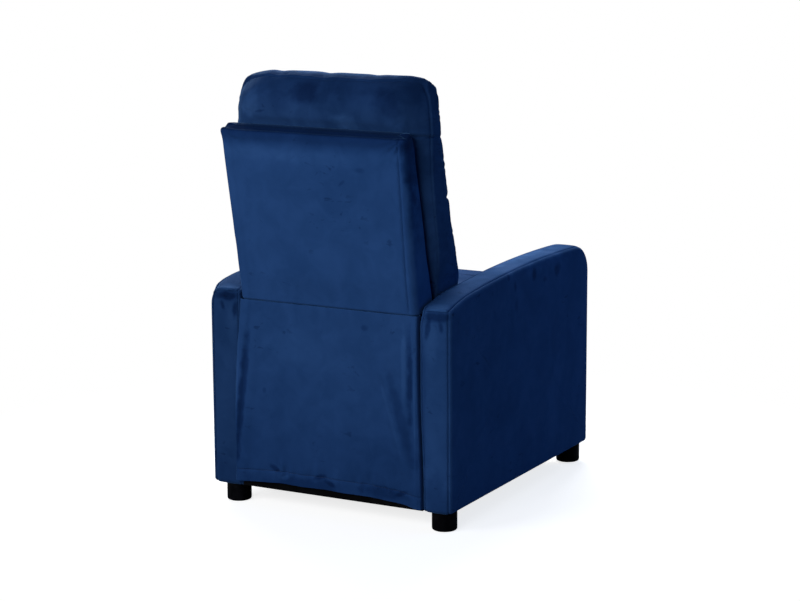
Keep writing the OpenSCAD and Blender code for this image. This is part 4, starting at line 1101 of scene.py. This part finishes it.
# How far the cloth's sides lie from the middle at the top, and how much further at the bottom
CLOTH_LEFT, CLOTH_FLARE_LEFT = 233, 21
CLOTH_RIGHT, CLOTH_FLARE_RIGHT = 224, 11
CLOTH_T = 1.6
# Height of the hem's stitches above the lower edge
HEM = 28
CLOTH_COLUMNS, CLOTH_ROWS, HEM_ROWS = 190, 120, 50
# Heights of the lower edge at even steps from -X to +X
CLOTH_EDGE_Z = [52, 60, 64, 65.5, 67, 66, 67, 62.5, 58]


def cloth_bottom(u):
    return np.interp(u, np.linspace(0, 1, len(CLOTH_EDGE_Z)), CLOTH_EDGE_Z)


def cloth_shape(u, v):
    """The cloth's surface at shares across (-X to +X) and down, with its folds."""
    bottom = cloth_bottom(u)
    z = SEAM_Z + (bottom - SEAM_Z) * v
    left = CLOTH_LEFT + CLOTH_FLARE_LEFT * (0.45 * v + 0.55 * ramp(v, 0, 0.4))
    right = -CLOTH_RIGHT - CLOTH_FLARE_RIGHT * v * v
    x = right + (left - right) * u
    from_right = x - right
    down = SEAM_Z - z
    out = 6.0 - ramp(down, 0, 50) - 0.8 * (1 - ramp(down, 2, 9))
    # A fold along the +X edge, and a crease inside the -X edge that fades downwards
    fold = 250 - 0.113 * (z - 110) - x
    folded = 3.2 * bell(fold, -12, 8) - 2.2 * bell(fold, 0, 7) + 1.5 * bell(fold, 20, 12)
    out += folded * ramp(v, 0.02, 0.3)
    out += 4.0 * bell(from_right, 5, 7) * ramp(v, 0.0, 0.1) * (1 - 0.4 * ramp(v, 0.25, 0.8))
    crease = 2.0 * bell(from_right, 33, 12) * ramp(v, 0.05, 0.2)
    out += (crease - 1.6 * bell(from_right, 16, 7) * ramp(v, 0.02, 0.12)) * (1 - ramp(v, 0.4, 0.9))
    # A long slanting fold from the upper -X corner down
    slant = -146 - 0.255 * (365 - z)
    out += (6.5 * bell(x, slant, 17) - 1.5 * bell(x, slant + 30, 14)) * ramp(v, 0.1, 0.4)
    # Slow billows that deepen downwards
    out += 3.0 * v * bell(x, 60, 90) + 3.5 * v * v * bell(x, 150, 30) + 3.5 * v * v * bell(x, -40, 26)
    flat = np.stack([x, z], -1)
    out += (0.3 + 1.6 * v) * ripple(flat * [1, 0.45], 60, 51) + 0.45 * ripple(flat, 24, 52)
    # The hem: a stitched line that gathers the cloth, with a fuller edge below it
    above = z - bottom
    stitch = above - HEM
    puckers = wave(x, 13, 53) * (0.5 + 0.5 * ramp(wave(x, 90, 54), -0.3, 0.5))
    out += 3.0 * puckers * bell(stitch, 0, 14) - 1.5 * bell(stitch, 0, 2.0) + ramp(-stitch, 0, 8)
    for at, deep in ((125, 3.0), (31, 2.6), (-119, 3.2)):
        out += deep * (bell(x, at, 7) - 0.6 * bell(x, at + 12, 8)) * bell(stitch, 8, 24)
    # The seam at the top gathers it too
    out += 0.8 * wave(x, 15, 55) * bell(down, 8, 10)
    return np.stack([x, FRONT_Y + ARM_DEPTH + np.maximum(out, 0.8), z], -1)


# Painted shade and painted highlights beside the cloth's folds, on its face and along the hem's puckers, and
# a few small dark marks
CLOTH_PAINTED_LIGHT_AND_MARKS = brushed_rows(342, [
    (233, 270, 14, 230, -6.5, 0.45), (246, 290, 5, 200, -3, 1.2), (-211, 345, 12, 140, 0, 0.4),
    (-195, 370, 9, 110, 0, 1.3), (-223, 300, 4, 210, 0, 1.3), (-190, 255, 19, 140, 18, 0.68),
    (-164, 250, 8, 110, 18, 1.15), (-95, 456, 13, 10, 0, 0.7), (172, 284, 8, 10, 0, 0.75),
    (144, 100, 24, 9, -25, 0.45), (118, 82, 16, 7, 20, 1.5), (27, 94, 26, 8, 20, 0.5),
    (-7, 82, 22, 9, -20, 0.5), (-190, 84, 26, 8, 25, 0.5), (60, 70, 190, 24, 1.5, 0.62),
    (-140, 78, 80, 22, 0, 0.65), (90, 400, 100, 60, 10, 1.08),
])

# The -X edge of the cloth is turned forwards by this much, round a small radius
TURN_IN = 15
TURN_R = 3


def turned_edge(edge):
    """Points that carry the cloth on from its -X edge round and forwards, furthest first."""
    steps = [(0.0, -TURN_R - TURN_IN + k * 4) for k in range(4)]
    for a in np.radians(range(0, 90, 18)):
        steps.append((TURN_R * (1 - math.cos(a)), TURN_R * (math.sin(a) - 1)))
    return np.stack([edge + [across - TURN_R, back, 0] for across, back in steps], 1)


def make_cloth():
    u = np.linspace(0, 1, CLOTH_COLUMNS)
    v = np.concatenate([np.linspace(0, 0.9, CLOTH_ROWS), np.linspace(0.9, 1, HEM_ROWS + 1)[1:]])
    points = cloth_shape(*np.meshgrid(u, v))
    points = np.concatenate([turned_edge(points[:, 0]), points], 1)
    piece = new_piece("rear_drop_cloth", points, band_faces(len(v), points.shape[1], closed=False))
    thick = piece.modifiers.new("thick", "SOLIDIFY")
    thick.thickness = CLOTH_T * MM
    thick.offset = 1.0
    apply_modifiers(piece)
    # Painted shade darkens the cloth towards its lower edge, and lay makes it lighter as a whole, partly for
    # its nap and partly as painted light
    cover(piece, lay=1.15, contrast=0.3, turn=-20, shades=[(60, 420, 0.7)], brushed=CLOTH_PAINTED_LIGHT_AND_MARKS)
    stitches = hem_stitches()
    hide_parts("rear_cloth")
    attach(piece, "cloth")
    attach(stitches, "cloth")


def hem_stitches():
    """A row of thread stitches along the hem."""
    pitch, length, radius = 5.0, 3.4, 0.35
    fine_u = np.linspace(0.012, 0.988, 2400)
    drop = SEAM_Z - cloth_bottom(fine_u)
    line = cloth_shape(fine_u, (drop - HEM) / drop) + [0, CLOTH_T + 0.1, 0]
    turn = np.radians(np.arange(0, 360, 60))
    ring = np.column_stack([0 * turn, np.cos(turn), np.sin(turn)]) * radius
    swell = np.array([0.35, 0.9, 1, 0.9, 0.35])[:, None, None]
    stitches, faces = [], []
    for start in np.arange(1, run_along(line)[-1] - length, pitch):
        base = len(stitches) * len(swell) * len(ring)
        middle = at_runs(line, np.linspace(start, start + length, len(swell)))
        stitches.append(middle[:, None] + ring * swell)
        faces += band_faces(len(swell), len(ring), first=base)
        faces += [tuple(range(base + end, base + end + len(ring))) for end in (0, 24)]
    piece = new_piece("cloth_hem_stitches", stitches, faces)
    nodes = Nodes("thread")
    twist = nodes.noise(2200.0, 1.0)
    paint(piece, nodes.finish(
        Base_Color=nodes.mix(twist, (0.004, 0.012, 0.05), (0.01, 0.03, 0.1)),
        Roughness=nodes.span(twist, 0.2, 0.8, 0.5, 0.7),
        Normal=nodes.bump(twist, 0.05, 0.5),
    ))
    return piece


# Finishes of the pieces that stay as the frame has them

def finish_frame():
    makers = (wood, black_plastic, black_steel, zinc_steel, nylon)
    made = {maker.__name__: maker(maker.__name__ + "_finish") for maker in makers}
    for row in frame["record"]["subparts"]:
        if row["material_slot"] in made:
            paint(frame["nodes"][row["node"]], made[row["material_slot"]])


# Floor, light and camera

# How pale the floor looks, what it adds to that for the camera, and how much light it throws back
FLOOR_SEEN = 0.7
FLOOR_GLOW = 0.78
FLOOR_BOUNCE = 0.2
FLOOR_REACH = 14.0


def make_floor():
    """A pale floor that keeps the chair's shadow near it and turns white further out."""
    mesh = bpy.data.meshes.new("floor")
    corners = [(x * FLOOR_REACH, y * FLOOR_REACH, 0) for x, y in ((-1, -1), (1, -1), (1, 1), (-1, 1))]
    mesh.from_pydata(corners, [], [(0, 1, 2, 3)])
    floor = add_object("floor", mesh)
    nodes = Nodes("floor_paint")
    tree, shader = nodes.tree, nodes.shader
    seen = nodes.add("ShaderNodeLightPath", {}, "Is Camera Ray")
    paint_colour = nodes.mix(seen, [FLOOR_BOUNCE] * 3, [FLOOR_SEEN] * 3)
    nodes.finish(Base_Color=paint_colour, Roughness=0.8, Specular_IOR_Level=0)
    join(tree, WHITE, shader.inputs["Emission Color"])
    join(tree, nodes.math("MULTIPLY", seen, FLOOR_GLOW), shader.inputs["Emission Strength"])
    far = nodes.span(nodes.vector_math("LENGTH", nodes.place, output="Value"), 0.5, 1.3)
    white = nodes.add("ShaderNodeEmission", {})
    share = nodes.math("MULTIPLY", far, seen)
    blend = nodes.add("ShaderNodeMixShader", {0: share, 1: shader.outputs[0], 2: white})
    join(tree, blend, tree.nodes["Material Output"].inputs["Surface"])
    mesh.materials.append(nodes.material)


def make_world():
    """A white background, with a soft even light on the chair."""
    world = bpy.data.worlds.new("studio")
    bpy.context.scene.world = world
    world.use_nodes = True
    tree = world.node_tree
    path = tree.nodes.new("ShaderNodeLightPath").outputs
    seen = path["Is Camera Ray"]
    levels = {"Value": path["Is Glossy Ray"], "To Min": WORLD_LIGHT, "To Max": WORLD_MIRRORED}
    mirrored = add_node(tree, "ShaderNodeMapRange", levels, "Result")
    strength = add_node(tree, "ShaderNodeMapRange", {"Value": seen, "To Min": mirrored}, "Result")
    colours = {"Factor": seen, "A": WORLD_COLOUR, "B": WHITE}
    tint = add_node(tree, "ShaderNodeMix", colours, "Result", data_type="RGBA")
    background = tree.nodes["Background"]
    join(tree, strength, background.inputs["Strength"])
    join(tree, tint, background.inputs["Color"])


WORLD_LIGHT = 0.07
WORLD_MIRRORED = 0.12
WORLD_COLOUR = (0.1, 0.45, 1.0)
WHITE = (1.0, 1.0, 1.0)
# Each lamp: name, place and aim in metres, width, height, power, colour
LAMPS = [
    ("rear_left", (2.6, 4.2, 2.6), (0, 0.2, 0.6), 2.4, 2.0, 75, WHITE),
    ("rear", (-0.6, 5.0, 2.2), (0, 0.2, 0.6), 2.4, 2.0, 84, WHITE),
    ("front_left", (3.0, -2.6, 2.4), (0, 0, 0.6), 2.4, 2.0, 60, WHITE),
    ("front_top", (0.9, -2.6, 3.2), (0, 0, 0.8), 1.8, 1.6, 95, WHITE),
    ("right_fill", (-3.2, -3.0, 1.8), (0, 0, 0.6), 2.4, 2.0, 36, (0.04, 0.41, 1.0)),
]


def make_lamps():
    for name, place, aim, width, height, power, colour in LAMPS:
        data = bpy.data.lights.new(name, "AREA")
        data.shape = "RECTANGLE"
        data.size, data.size_y = width, height
        data.energy = power
        data.color = colour
        lamp = add_object(name, data)
        lamp.location = place
        lamp.rotation_euler = (Vector(aim) - Vector(place)).to_track_quat("-Z", "Y").to_euler()


CAMERA_PLACE = (-2.6016, 4.8021, 1.5364)
CAMERA_LOOK = (0.46727193, -0.86232066, -0.19508977)
CAMERA_UP = (0.08837497, -0.17399962, 0.98077214)
CAMERA_LENS = 104.63


def make_camera():
    data = bpy.data.cameras.new("camera")
    data.lens = CAMERA_LENS
    data.sensor_width = 36
    camera = add_object("camera", data)
    look, up = Vector(CAMERA_LOOK).normalized(), Vector(CAMERA_UP)
    right = look.cross(up).normalized()
    turn = Matrix((right, right.cross(look), -look)).transposed().to_4x4()
    camera.matrix_world = Matrix.Translation(CAMERA_PLACE) @ turn
    bpy.context.scene.camera = camera


make_camera()
make_arms()
make_back_shell()
make_back_cushion()
make_seat_cushion()
make_footrest_pad()
make_cloth()
finish_frame()
make_floor()
make_world()
make_lamps()
bpy.context.scene.view_settings.view_transform = "Standard"
